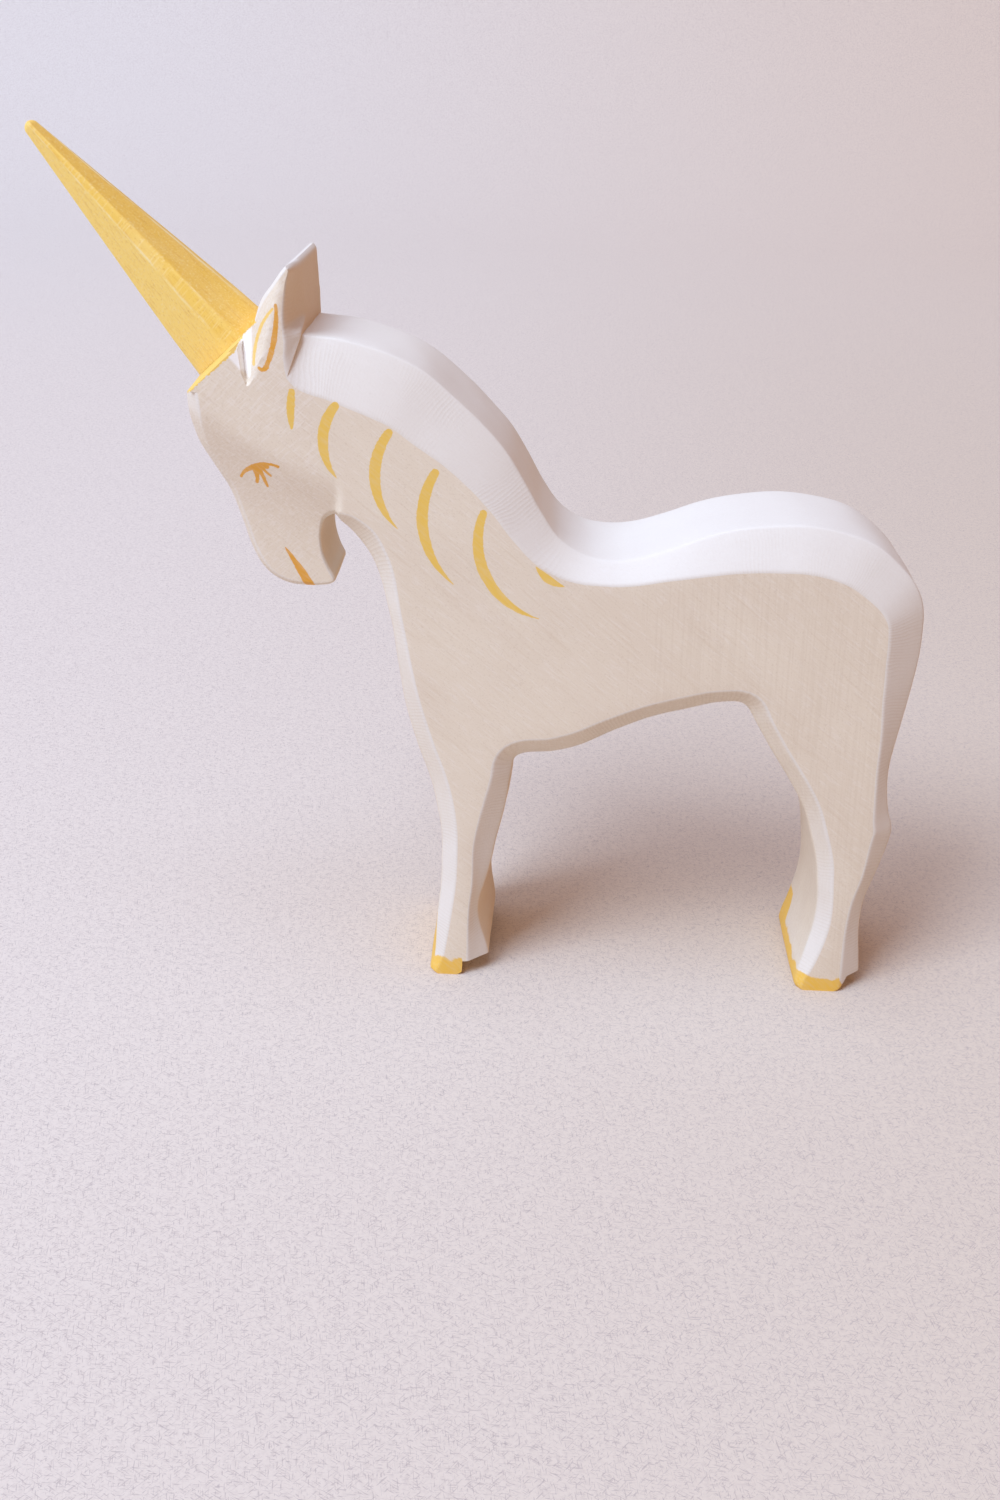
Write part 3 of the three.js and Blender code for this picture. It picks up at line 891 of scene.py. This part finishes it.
maple_pale = "#E8DCC8"
maple_fibre = "#C9B08F"
# Paler colour of the knife cuts: partly fresh-cut wood, partly painted light on cuts that turn up to the
# windows
pale_cut_and_painted_light = "#E8E5E1"
# Warmer end-grain colour, laid only on walls that face right, away from the windows: partly end grain,
# partly painted shade
end_grain_and_painted_shade = "#E8C79C"
stain_yellow = "#F3CB5E"
print("maple", [round(c, 3) for c in linear(maple_pale)])

# %% [markdown]
# ## Patterns in wood
# Every wood here is drawn from the same two moves. The first is a noise stretched along the grain: squeezed
# across and drawn out along, its blobs turn into fibres, and because it is a pattern in three dimensions
# the ends of the fibres show by themselves where an edge turns across them. The second lays one colour
# over another where such a pattern is high, softly, as a stain or a brown fibre does.

# %% Fibres, and one colour laid over another
# A mix node has five sockets for numbers and directions before its two colours
mix_numbers = [None] * 5
noise_range = (0.3, 0.7)
wood_index = 1.5


def fibres(tree, place, turn_degrees, along, across, detail):
    """Noise drawn out along the grain, with the length and width of its fibres in millimetres."""
    grain_place = add_node(tree, "Mapping", vector_type="TEXTURE", Vector=place,
        Rotation=(0.0, math.radians(turn_degrees), 0.0), Scale=(along * MM, across * MM, across * MM))
    return add_node(tree, "TexNoise", Vector=grain_place, Scale=1.0, Detail=detail)


def lay_colours(tree, colour, layers):
    """Lay each colour over what is under it where its pattern rises from low to high, up to a share."""
    for over, pattern, low, high, share in layers:
        mask = add_node(tree, "MapRange", pattern, low, high, 0.0, share, interpolation_type="SMOOTHSTEP")
        pair = [linear(c) if isinstance(c, str) else c for c in (colour, over)]
        colour = add_node(tree, "Mix", mask, *mix_numbers, *pair, data_type="RGBA").outputs[2]
    return colour


def start_material(material):
    """Clear a material and give it a shader, an output and object coordinates."""
    material.use_nodes = True
    tree = material.node_tree
    tree.nodes.clear()
    shader = add_node(tree, "BsdfPrincipled", IOR=wood_index)
    add_node(tree, "OutputMaterial", Surface=shader)
    return tree, shader, add_node(tree, "TexCoord").outputs["Object"]


def finish_surface(tree, shader, colour, pattern, roughness, height, depth):
    """Join the colour, a roughness that follows a pattern, and a bump of the given depth in mm."""
    rough = add_node(tree, "MapRange", pattern, *noise_range, *roughness)
    bump = add_node(tree, "Bump", Strength=1.0, Distance=depth * MM, Height=height)
    sources = {"Base Color": colour, "Roughness": rough.outputs[0], "Normal": bump.outputs[0]}
    for name, source in sources.items():
        tree.links.new(source, shader.inputs[name])


print("pattern helpers ready")

# %% [markdown]
# ## Painted marks
# The eye, the mouth and the mane are single touches of a small brush in thin yellow and ochre paint, the
# same on both sides. Each is an arc through three points, with a width where the brush lands, a width where
# it lifts off and some belly between them, because a loaded brush spreads in the middle of a stroke. The
# paint is a little clear, so the grain shows through it, and its edge is ragged where it runs into the
# fibres. A brush stroke is made once, as a node group, and used for all of them.

# %% A brush stroke as a node group
stroke_edge = (-0.07, 0.09)
stroke_sockets = (
    "X", "Z", "Ragged", "Centre X", "Centre Z", "Radius", "Middle angle", "Half length", "Start width",
    "End width", "Belly",
)


def build_stroke_group():
    """A mask for one brush stroke that follows an arc in the board's plane, in millimetres."""
    group = bpy.data.node_groups.new("brush_stroke", "ShaderNodeTree")
    for name in stroke_sockets:
        group.interface.new_socket(name, in_out="INPUT", socket_type="NodeSocketFloat")
    group.interface.new_socket("Mask", in_out="OUTPUT", socket_type="NodeSocketFloat")
    given = add_node(group, "NodeGroupInput").outputs
    dx = add_node(group, "Math", "SUBTRACT", given["X"], given["Centre X"])
    dz = add_node(group, "Math", "SUBTRACT", given["Z"], given["Centre Z"])
    angle = add_node(group, "Math", "ARCTAN2", dz, dx)
    from_middle = add_node(group, "Math", "SUBTRACT", angle, given["Middle angle"])
    turn = add_node(group, "Math", "WRAP", from_middle, -math.pi, math.pi)
    along = add_node(group, "Math", "MULTIPLY", turn, given["Radius"])
    flat_place = add_node(group, "CombineXYZ", X=dx, Y=dz)
    distance = add_node(group, "VectorMath", "LENGTH", flat_place).outputs["Value"]
    size = add_node(group, "Math", "ABSOLUTE", given["Radius"])
    off = add_node(group, "Math", "SUBTRACT", distance, size)
    share = add_node(group, "Math", "DIVIDE", along, given["Half length"])
    width = add_node(group, "MapRange", Value=share, From_Min=-1.0, To_Min=given["Start width"],
        To_Max=given["End width"])
    to_ends = add_node(group, "Math", "MULTIPLY", share, share)
    left = add_node(group, "Math", "SUBTRACT", 1.0, to_ends, use_clamp=True)
    width = add_node(group, "Math", "MULTIPLY_ADD", left, given["Belly"], width)
    past = add_node(group, "Math", "ABSOLUTE", along)
    beyond = add_node(group, "Math", "SUBTRACT", past, given["Half length"])
    beyond = add_node(group, "Math", "MAXIMUM", beyond, 0.0)
    away = add_node(group, "CombineXYZ", X=off, Y=beyond)
    reach = add_node(group, "VectorMath", "LENGTH", away).outputs["Value"]
    depth = add_node(group, "Math", "MULTIPLY", width, 0.5)
    depth = add_node(group, "Math", "SUBTRACT", depth, reach)
    depth = add_node(group, "Math", "ADD", depth, given["Ragged"])
    mask = add_node(group, "MapRange", depth, *stroke_edge, interpolation_type="SMOOTHSTEP")
    add_node(group, "NodeGroupOutput", Mask=mask)
    return group


def arc_through(first, middle, last):
    """Centre, signed radius, middle angle and half length of the arc through three points."""
    (ax, az), (bx, bz), (cx, cz) = first, middle, last
    d = 2 * (ax * (bz - cz) + bx * (cz - az) + cx * (az - bz))
    a2, b2, c2 = ax ** 2 + az ** 2, bx ** 2 + bz ** 2, cx ** 2 + cz ** 2
    centre_x = (a2 * (bz - cz) + b2 * (cz - az) + c2 * (az - bz)) / d
    centre_z = (a2 * (cx - bx) + b2 * (ax - cx) + c2 * (bx - ax)) / d
    radius = math.hypot(ax - centre_x, az - centre_z)
    start = math.atan2(az - centre_z, ax - centre_x)
    end = math.atan2(cz - centre_z, cx - centre_x)
    turn = (end - start + math.pi) % (2 * math.pi) - math.pi
    middle_angle = start + turn / 2
    sign = 1 if turn > 0 else -1
    return centre_x, centre_z, sign * radius, middle_angle, abs(turn) * radius / 2


stroke_group = build_stroke_group()
print("mane stroke:", [round(v, 2) for v in arc_through((-22.2, 98.5), (-24.2, 92.8), (-22.2, 87.1))])

# %% List the brush strokes
mane_strokes = [
    ((-28.7, 100.2), (-28.95, 97.6), (-28.85, 94.8), 1.0, 0.5, 0.5),
    ((-22.35, 98.3), (-24.25, 92.6), (-22.2, 87.3), 1.3, 0.1, 0.9),
    ((-14.4, 94.6), (-16.45, 86.9), (-13.0, 79.8), 1.3, 0.1, 0.95),
    ((-7.4, 88.8), (-9.25, 80.8), (-4.4, 71.3), 1.3, 0.1, 1.0),
    ((0.0, 82.8), (0.1, 74.0), (9.0, 66.2), 1.2, 0.1, 1.0),
    ((8.3, 74.6), (10.0, 72.9), (12.8, 71.6), 0.2, 0.1, 1.1),
]
face_strokes = [
    ((-37.3, 86.3), (-34.9, 88.5), (-31.2, 88.6), 0.5, 0.55, 0.0),
    ((-36.3, 87.4), (-34.6, 88.2), (-33.0, 88.4), 0.5, 0.8, 0.0),
    ((-34.9, 88.0), (-34.75, 87.0), (-34.85, 85.6), 1.1, 0.55, 0.0),
    ((-34.2, 87.8), (-33.7, 86.3), (-33.25, 85.0), 0.8, 0.45, 0.0),
    ((-33.6, 88.0), (-33.1, 87.4), (-32.6, 86.9), 0.6, 0.45, 0.0),
    ((-31.2, 74.5), (-29.6, 71.9), (-27.5, 68.2), 0.2, 1.5, 0.3),
    ((-30.7, 112.6), (-31.1, 107.6), (-32.4, 103.6), 0.4, 0.6, 0.35),
    ((-32.4, 103.6), (-33.0, 103.3), (-33.4, 103.5), 0.9, 0.5, 0.0),
]
ear_light_strokes = [((-31.2, 112.0), (-33.6, 108.2), (-34.3, 103.9), 0.4, 0.5, 0.1)]
print(len(mane_strokes), "mane strokes,", len(face_strokes), "face strokes")


def stroke_masks(tree, strokes, x, z, ragged):
    """The largest mask of several strokes."""
    total = None
    for first, middle, last, start_width, end_width, belly in strokes:
        centre_x, centre_z, radius, middle_angle, half_length = arc_through(first, middle, last)
        stroke = add_node(tree, "Group", x, z, ragged, centre_x + drawing_shift, centre_z, radius,
            middle_angle, half_length, start_width, end_width, belly, node_tree=stroke_group)
        if total is not None:
            stroke = add_node(tree, "Math", "MAXIMUM", total, stroke)
        total = stroke
    return total


# %% [markdown]
# ## Sanded maple
# The body is hard maple, sawn, then sanded to about 180 grit and left without varnish. Maple is pale and
# close grained: what the eye sees is a smooth beige with faint fibres, a fine speckle, and a dull sheen.
# The grain of this board runs down to the right at about 40 degrees, the way the horn points. On the rump
# the band saw's teeth have left upright lines seven tenths of a millimetre apart. The knife cuts along
# the edges are cleaner and carry fine ribs square to the edge, where the blade stuttered. The ribs follow
# the piece's own edge map, which gives the distance round the outline and across the cut. The cuts are laid
# paler, partly as fresh-cut wood and partly as painted light where they turn up towards the windows, and
# the walls that face right get a warmer end-grain colour that is partly painted shade.

# %% Sanded maple
grain_turn = 40.0
saw_line_fade = (-5, 30)
cross_mark_fade = (-18, -26)
rib_spacing = 0.6
rib_sway = 3.0
rib_sway_scale = 0.09
rib_patches = 0.1
patch_range = (0.4, 0.6)
faintest_ribs = 0.25
cut_rim = (-0.5, 0.4)
sloping_range = (0.1, 0.4)
top_range = (0.1, 0.6)
ribs_on_top = 0.15

# Each pattern's turn in degrees, the length and width of its fibres in mm, and its detail: clouds, long
# fibres, hatching, speckle, saw lines and the marks across the head
maple_patterns = [
    (grain_turn, 30.0, 9.0, 2.0), (grain_turn, 9.0, 0.35, 4.0), (grain_turn - 3.0, 2.4, 0.28, 3.0),
    (grain_turn, 0.35, 0.22, 2.0), (88.0, 14.0, 0.35, 2.0), (grain_turn + 97.0, 1.9, 0.28, 2.0),
]


def maple_wood(tree, place):
    """Colour, fibre pattern and height of sanded maple."""
    clouds, long_fibres, hatch, speckle, saw_lines, cross_marks = [
        fibres(tree, place, *sizes) for sizes in maple_patterns
    ]
    x = add_node(tree, "SeparateXYZ", place).outputs["X"]
    on_rump, on_head = [
        add_node(tree, "MapRange", x, start * MM, end * MM)
        for start, end in (saw_line_fade, cross_mark_fade)
    ]
    saw_lines = add_node(tree, "Math", "MULTIPLY", saw_lines, on_rump)
    cross_marks = add_node(tree, "Math", "MULTIPLY", cross_marks, on_head)
    colour = lay_colours(tree, maple_pale, [
        ("#DFD0BC", clouds, 0.35, 0.65, 0.35),
        (maple_fibre, long_fibres, 0.52, 0.75, 0.16),
        ("#F3ECE2", hatch, 0.5, 0.72, 0.30),
        ("#BDA78C", speckle, 0.52, 0.75, 0.22),
        ("#D0BEA5", saw_lines, 0.42, 0.66, 0.16),
        ("#F4EDE4", cross_marks, 0.45, 0.7, 0.34),
    ])
    height = speckle
    for pattern, weight in ((long_fibres, -0.7), (hatch, 0.5), (saw_lines, -0.4), (cross_marks, 0.6)):
        height = add_node(tree, "Math", "MULTIPLY_ADD", pattern, weight, height)
    return colour, long_fibres, height


def edge_ribs(tree, sideways, upward):
    """Fine ribs square to the edge on the sloping cuts, fainter on the tops, and a mask of all cuts."""
    edge = add_node(tree, "UVMap", uv_map="edge")
    parts = add_node(tree, "SeparateXYZ", edge).outputs
    sway = add_node(tree, "TexNoise", Vector=edge, Scale=rib_sway_scale, Detail=2.0)
    phase = add_node(tree, "Math", "MULTIPLY_ADD", sway, rib_sway, parts["X"])
    turns = add_node(tree, "Math", "MULTIPLY", phase, 2 * math.pi / rib_spacing)
    wave = add_node(tree, "Math", "SINE", turns)
    mask = add_node(tree, "MapRange", parts["Y"], *cut_rim, interpolation_type="SMOOTHSTEP")
    patch = add_node(tree, "TexNoise", Vector=edge, Scale=rib_patches, Detail=2.0)
    strength = add_node(tree, "MapRange", patch, *patch_range, faintest_ribs, 1.0)
    sloping = add_node(tree, "MapRange", sideways, *sloping_range)
    below = add_node(tree, "MapRange", upward, *top_range, 1.0, ribs_on_top)
    for factor in (mask, sloping, below):
        strength = add_node(tree, "Math", "MULTIPLY", strength, factor)
    ribs = add_node(tree, "Math", "MULTIPLY", wave, strength)
    return ribs, mask


print("ribs", rib_spacing, "mm apart, grain at", grain_turn, "degrees")

# %% Where the stains and the painted highlight on the crown end
creep_low = 0.7
creep_high = 1.0
creep_top = 0.1
creep_rise = (-5.0, 2.2)
creep_fall = (2.4, 4.6)
stain_end = 7.6
stain_edge = (-0.05, 0.12)
crown_edge = (crown_start - 0.2, crown_start + 0.3)
crown_behind = (-5.4, -4.8)
crown_right = (-34.9, -35.3)
forward_facing = (-0.8, -0.96)
hoof_side_height = 3.3
hoof_front_height = 10.6
hind_front_height = 8.2
hind_stain_edge = (5.0, 7.0)
front_sole_back = -2.2
hind_sole_back = 62.8
heel_fall = -3.0
hoof_edge = (-0.25, 0.3)
hoof_waver = 4.4
waver_length = 5.0
raggedness = 2.0


def horn_foot_place(tree, x, y, z):
    """Distances past the seat of the horn, and across its axis, in millimetres."""
    seat = (seat_middle[0] + drawing_shift, 0.0, seat_middle[1])
    point = add_node(tree, "CombineXYZ", X=x, Y=y, Z=z)
    offset = add_node(tree, "VectorMath", "SUBTRACT", point, seat)
    return [
        add_node(tree, "VectorMath", "DOT_PRODUCT", offset, axis).outputs["Value"]
        for axis in (along_axis, across_axis)
    ]


def soaked_stain(tree, ahead, across, ragged):
    """How far the horn's stain has crept past the joint, as a mask."""
    on_foot = add_node(tree, "Math", "LESS_THAN", across, stain_end)
    creep = creep_low
    for limits, amount in ((creep_rise, creep_high), (creep_fall, creep_top)):
        creep = add_node(tree, "MapRange", across, *limits, creep, amount)
    reach = add_node(tree, "Math", "ADD", ahead, creep)
    reach = add_node(tree, "Math", "MULTIPLY_ADD", ragged, raggedness, reach)
    mask = add_node(tree, "MapRange", reach, *stain_edge)
    return add_node(tree, "Math", "MULTIPLY", mask, on_foot)


def crown_highlight_mask(tree, ahead, across, x):
    """A mask of the small knife cut between the horn's foot and the ear, where a pale highlight is painted.
    """
    mask = 1.0
    for value, limits in ((across, crown_edge), (ahead, crown_behind), (x, crown_right)):
        part = add_node(tree, "MapRange", value, *limits)
        mask = add_node(tree, "Math", "MULTIPLY", part, mask)
    return mask


def hoof_stain(tree, place, facing, x, y, z, ragged):
    """The yellow of the hooves, higher on walls that face forward, and at the hind leg only far round."""
    forward = add_node(tree, "MapRange", facing["X"], *forward_facing, interpolation_type="SMOOTHSTEP")
    front_leg = add_node(tree, "Math", "LESS_THAN", x, leg_divide)
    far_round = add_node(tree, "MapRange", y, *hind_stain_edge)
    high = add_node(tree, "Math", "MAXIMUM", front_leg, far_round)
    high = add_node(tree, "Math", "MULTIPLY", high, forward)
    tall = add_node(tree, "MapRange", Value=front_leg, To_Min=hind_front_height, To_Max=hoof_front_height)
    line = add_node(tree, "MapRange", Value=high, To_Min=hoof_side_height, To_Max=tall)
    sole_back = add_node(tree, "MapRange", Value=front_leg, To_Min=hind_sole_back, To_Max=front_sole_back)
    past = add_node(tree, "Math", "SUBTRACT", x, sole_back, use_clamp=True)
    line = add_node(tree, "Math", "MULTIPLY_ADD", past, heel_fall, line)
    slow = fibres(tree, place, 0.0, waver_length, waver_length, 2.0)
    waver = add_node(tree, "Math", "MULTIPLY_ADD", slow, hoof_waver, -hoof_waver / 2)
    line = add_node(tree, "Math", "ADD", line, waver)
    line = add_node(tree, "Math", "MULTIPLY_ADD", ragged, raggedness, line)
    below = add_node(tree, "Math", "SUBTRACT", line, z)
    return add_node(tree, "MapRange", below, *hoof_edge, interpolation_type="SMOOTHSTEP")


print("stain creeps", creep_low, "to", creep_high, "mm past the joint")

# %% Put the maple together
mane_paint = "#EDC65C"
face_paint = "#E3A334"
ear_paint = "#EFC96F"
hoof_paint = "#F0C250"
# A painted highlight: near-white laid on the small cut between the horn's foot and the ear
crown_painted_highlight = "#FDFBF7"
bleed_width = 0.38
painted_from = (5.2, 5.6)
thin_paint = 0.72
side_share = 0.8
rib_depth = 0.35
maple_roughness = (0.55, 0.7)
wood_bump = 0.02


def paint_body(material):
    tree, shader, place = start_material(material)
    colour, long_fibres, height = maple_wood(tree, place)
    normal = add_node(tree, "TexCoord").outputs["Normal"]
    facing = add_node(tree, "SeparateXYZ", normal).outputs
    sideways = add_node(tree, "Math", "ABSOLUTE", facing["Y"])
    ribs, on_cut = edge_ribs(tree, sideways, facing["Z"])
    # Painted light: the cuts are laid paler the more they face up or sideways, most of all on the tops
    cut_painted_light_mask = add_node(tree, "Math", "MULTIPLY_ADD", sideways, side_share, facing["Z"])
    cut_painted_light_mask = add_node(tree, "Math", "MULTIPLY", cut_painted_light_mask, on_cut)
    # Painted shade: walls that face right are laid in the warm end-grain colour
    wall = add_node(tree, "Math", "MULTIPLY", facing["X"], on_cut)
    layers = [
        (end_grain_and_painted_shade, wall, 0.6, 1.0, 0.65),
        (pale_cut_and_painted_light, cut_painted_light_mask, 0.1, 0.7, 0.7),
        ("#CDBBA3", ribs, 0.0, 1.0, 0.20),
    ]
    millimetres = add_node(tree, "VectorMath", "SCALE", place, Scale=1 / MM)
    x, y, z = add_node(tree, "SeparateXYZ", millimetres).outputs
    bleed = fibres(tree, place, grain_turn, 2.2, 0.35, 3.0)
    ragged = add_node(tree, "Math", "MULTIPLY_ADD", bleed, bleed_width, -bleed_width / 2)
    out = add_node(tree, "Math", "ABSOLUTE", y)
    on_side = add_node(tree, "MapRange", out, *painted_from)
    cover = add_node(tree, "MapRange", bleed, *noise_range, 1.0, thin_paint)
    on_side = add_node(tree, "Math", "MULTIPLY", on_side, cover)
    for strokes, hex_colour in (
        (mane_strokes, mane_paint), (face_strokes, face_paint), (ear_light_strokes, ear_paint),
    ):
        mask = stroke_masks(tree, strokes, x, z, ragged)
        mask = add_node(tree, "Math", "MULTIPLY", mask, on_side)
        layers.append((hex_colour, mask, 0.0, 1.0, 1.0))
    hoof = add_node(tree, "Math", "MULTIPLY", hoof_stain(tree, place, facing, x, y, z, ragged), cover)
    ahead, across = horn_foot_place(tree, x, y, z)
    # The near-white on the crown is a painted highlight, standing in for the light on that cut
    layers += [
        (hoof_paint, hoof, 0.0, 1.0, 1.0),
        (crown_painted_highlight, crown_highlight_mask(tree, ahead, across, x), 0.0, 1.0, 0.8),
        (stain_yellow, soaked_stain(tree, ahead, across, ragged), 0.0, 1.0, 0.92),
    ]
    colour = lay_colours(tree, colour, layers)
    height = add_node(tree, "Math", "MULTIPLY_ADD", ribs, rib_depth, height)
    finish_surface(tree, shader, colour, long_fibres, maple_roughness, height, wood_bump)
    return material


maple = paint_body(bpy.data.materials.new("sanded_maple"))
body.data.materials.clear()
body.data.materials.append(maple)
print("maple nodes:", len(maple.node_tree.nodes))

# %% [markdown]
# ## Stained horn
# The horn is the same maple under a yellow water stain. A stain soaks in: it keeps the grain visible and
# goes darker where the wood drinks more. The sanding marks across the horn show as faint paler ribs, and
# along the ridges the stain is rubbed off again, which draws a thin pale line down each of them. The facets
# that turn up are painted a darker orange as shade, and those that turn down a paler yellow as light.

# %% Stain the horn
horn_grain_turn = math.degrees(horn_angle)
wear_power = 0.45
horn_roughness = (0.42, 0.58)

# Long fibres, clouds, sanding marks, speckle and worn patches
horn_patterns = [
    (horn_grain_turn, 9.0, 0.5, 4.0), (horn_grain_turn, 12.0, 3.5, 2.0),
    (horn_grain_turn + 84.0, 6.0, 0.3, 2.0), (horn_grain_turn, 0.5, 0.25, 2.0),
    (horn_grain_turn, 5.0, 1.0, 2.0),
]


def stain_wood(material):
    tree, shader, place = start_material(material)
    long_fibres, clouds, marks, speckle, patchy = [fibres(tree, place, *sizes) for sizes in horn_patterns]
    normal = add_node(tree, "TexCoord").outputs["Normal"]
    upward = add_node(tree, "VectorMath", "DOT_PRODUCT", normal, across_axis).outputs["Value"]
    lower_facet_painted_light = add_node(tree, "Math", "MULTIPLY", upward, -1.0)
    crest = add_node(tree, "Attribute", attribute_name="crest").outputs["Fac"]
    worn = add_node(tree, "Math", "POWER", crest, wear_power)
    worn = add_node(tree, "Math", "MULTIPLY", worn, patchy)
    # Painted shade and light: facets turned up across the horn get a darker orange, facets turned down a
    # paler yellow
    colour = lay_colours(tree, stain_yellow, [
        ("#F4D27A", clouds, 0.4, 0.65, 0.6),
        ("#EDB84E", upward, 0.3, 0.8, 0.35),
        ("#FFE07C", lower_facet_painted_light, 0.2, 0.5, 0.75),
        ("#DCA23A", long_fibres, 0.5, 0.75, 0.35),
        ("#FBE2A0", marks, 0.5, 0.72, 0.5),
        ("#D79F3A", speckle, 0.55, 0.75, 0.4),
        ("#FBEBB8", worn, 0.15, 0.5, 0.8),
    ])
    height = add_node(tree, "Math", "MULTIPLY_ADD", long_fibres, -0.6, marks)
    finish_surface(tree, shader, colour, clouds, horn_roughness, height, wood_bump)


stain_wood(horn_stain)
print("horn nodes:", len(horn_stain.node_tree.nodes))

# %% [markdown]
# ## Beech dowel
# The dowel is a length of plain beech rod, hidden between the horn and the forehead. Beech is a warmer
# brown than maple, with short dark flecks a millimetre or two long. The measured solid has the right shape
# and stays, with this finish on it.

# %% Finish the dowel
beech_roughness = (0.55, 0.65)


def finish_dowel(material):
    tree, shader, place = start_material(material)
    long_fibres = fibres(tree, place, horn_grain_turn, 10.0, 0.5, 3.0)
    flecks = fibres(tree, place, horn_grain_turn, 1.8, 0.25, 3.0)
    colour = lay_colours(tree, "#D2A97C", [
        ("#C0925F", long_fibres, 0.35, 0.7, 0.5), ("#8F6238", flecks, 0.6, 0.72, 0.6),
    ])
    finish_surface(tree, shader, colour, long_fibres, beech_roughness, long_fibres, wood_bump)
    return material


beech = finish_dowel(bpy.data.materials.new("beech_rod"))
dowel = frame["nodes"]["horn_dowel"]
for slot in dowel.material_slots:
    slot.material = beech
print("dowel slots:", len(dowel.material_slots))

# %% [markdown]
# ## Paper and light
# The toy stands on a sheet of pale handmade paper that curves up behind it. Two wide windows light it, one
# from the upper left in front and one high above, with the cool colour of the sky, and the warm room
# fills the shadows. So tops are bright, walls that face right are warm and dim, and the shadow under the
# belly is soft. The paper's colour is painted lighter and cooler on the left and far away, and darker and
# warmer on the near right, as painted light and shade from the windows.

# %% Lay the paper
# Painted light and shade: the paper's colours go from light on the left to darker and warmer on the right,
# lighter far away
paper_left_painted_light = "#E0D6CE"
paper_right_painted_shade = "#D3C3B1"
paper_far_left_painted_light = "#EAE7E4"
paper_far_right_painted_light = "#E9DCCE"
paper_fibre = "#A99C9A"
paper_pulp = "#BBAEA8"
paper_roughness = (0.85, 0.95)
paper_bump = 0.05
pulp_size = 0.8
hair_turns = (0.0, 50.0, 100.0, 150.0)
hair_size = (1.4, 0.16)
hair_bend = 0.6

# The sheet in metres
paper_half_width = 2.5
paper_front = -1.2
paper_top = 2.0
bend_start = 0.9
bend_radius = 0.6
floor_rows = 8
bend_rows = 12


def build_paper():
    bm = bmesh.new()
    depths = [(paper_front, 0.0)] + [(bend_start * k / floor_rows, 0.0) for k in range(floor_rows + 1)]
    for k in range(1, bend_rows + 1):
        angle = math.pi / 2 * k / bend_rows
        depths.append((bend_start + bend_radius * math.sin(angle), bend_radius * (1 - math.cos(angle))))
    depths.append((bend_start + bend_radius, paper_top))
    rows = [[bm.verts.new((x, y, z)) for x in (-paper_half_width, paper_half_width)] for y, z in depths]
    for a, b in zip(rows, rows[1:]):
        bm.faces.new([a[0], a[1], b[1], b[0]])
    mesh = bpy.data.meshes.new("paper")
    bm.to_mesh(mesh)
    bm.free()
    mesh.polygons.foreach_set("use_smooth", [True] * len(mesh.polygons))
    return bpy.data.objects.new("paper", mesh)


def paper_finish(material):
    tree, shader, place = start_material(material)
    parts = add_node(tree, "SeparateXYZ", place).outputs
    # Painted light and shade: light to dark from left to right, and lighter towards the back
    near = lay_colours(tree, paper_left_painted_light, [(paper_right_painted_shade, parts["X"], -0.15, 0.2, 1.0)])
    far = lay_colours(tree, paper_far_left_painted_light, [(paper_far_right_painted_light, parts["X"], -0.5, 0.5, 1.0)])
    pulp = fibres(tree, place, 0.0, pulp_size, pulp_size, 4.0)
    layers = [(far, parts["Y"], 0.0, 1.0, 1.0), (paper_pulp, pulp, 0.45, 0.75, 0.25)]
    for turn in hair_turns:
        turned = add_node(tree, "Mapping", vector_type="TEXTURE", Vector=place,
            Rotation=(0.0, 0.0, math.radians(turn)), Scale=(hair_size[0] * MM, hair_size[1] * MM, 1.0))
        hair = add_node(tree, "TexNoise", Vector=turned, Scale=1.0, Detail=1.0, Distortion=hair_bend)
        layers.append((paper_fibre, hair, 0.62, 0.69, 0.5))
    finish_surface(tree, shader, lay_colours(tree, near, layers), pulp, paper_roughness, pulp, paper_bump)
    return material


paper = build_paper()
scene.collection.objects.link(paper)
paper.data.materials.append(paper_finish(bpy.data.materials.new("handmade_paper")))
print("paper box:", [round(v, 2) for v in paper.dimensions])


# %% Hang the lights
toy_middle = (0.0, 0.0, 0.05)


def add_lamp(name, place, side, power, hex_colour):
    """Hang a square window lamp that faces the toy."""
    lamp = bpy.data.lights.new(name, "AREA")
    lamp.shape = "RECTANGLE"
    lamp.size = lamp.size_y = side
    lamp.energy = power
    lamp.color = linear(hex_colour)[:3]
    holder = bpy.data.objects.new(name, lamp)
    holder.location = place
    holder.rotation_euler = (Vector(toy_middle) - Vector(place)).to_track_quat("-Z", "Y").to_euler()
    scene.collection.objects.link(holder)


# Each window's place in metres, its side, its power in watts and its colour
add_lamp("front_window", (-1.25, -1.30, 1.98), 1.2, 67.0, "#D0E6FF")
add_lamp("high_window", (-0.45, -0.35, 2.60), 1.6, 37.0, "#BCDBFF")
world = bpy.data.worlds.new("room")
world.use_nodes = True
sky = world.node_tree.nodes["Background"]
sky.inputs["Color"].default_value = linear("#FFBC8A")
sky.inputs["Strength"].default_value = 0.38
scene.world = world

# %% [markdown]
# ## Tie the pieces to the solids
# Each finished piece stands for one measured solid and rides on the toy's one rigid body.

# %% Attach the pieces and hide the solids
for piece, node, slot in ((body, "body", "maple"), (horn, "horn", "stained_horn")):
    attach(piece, "root")
    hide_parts(node)
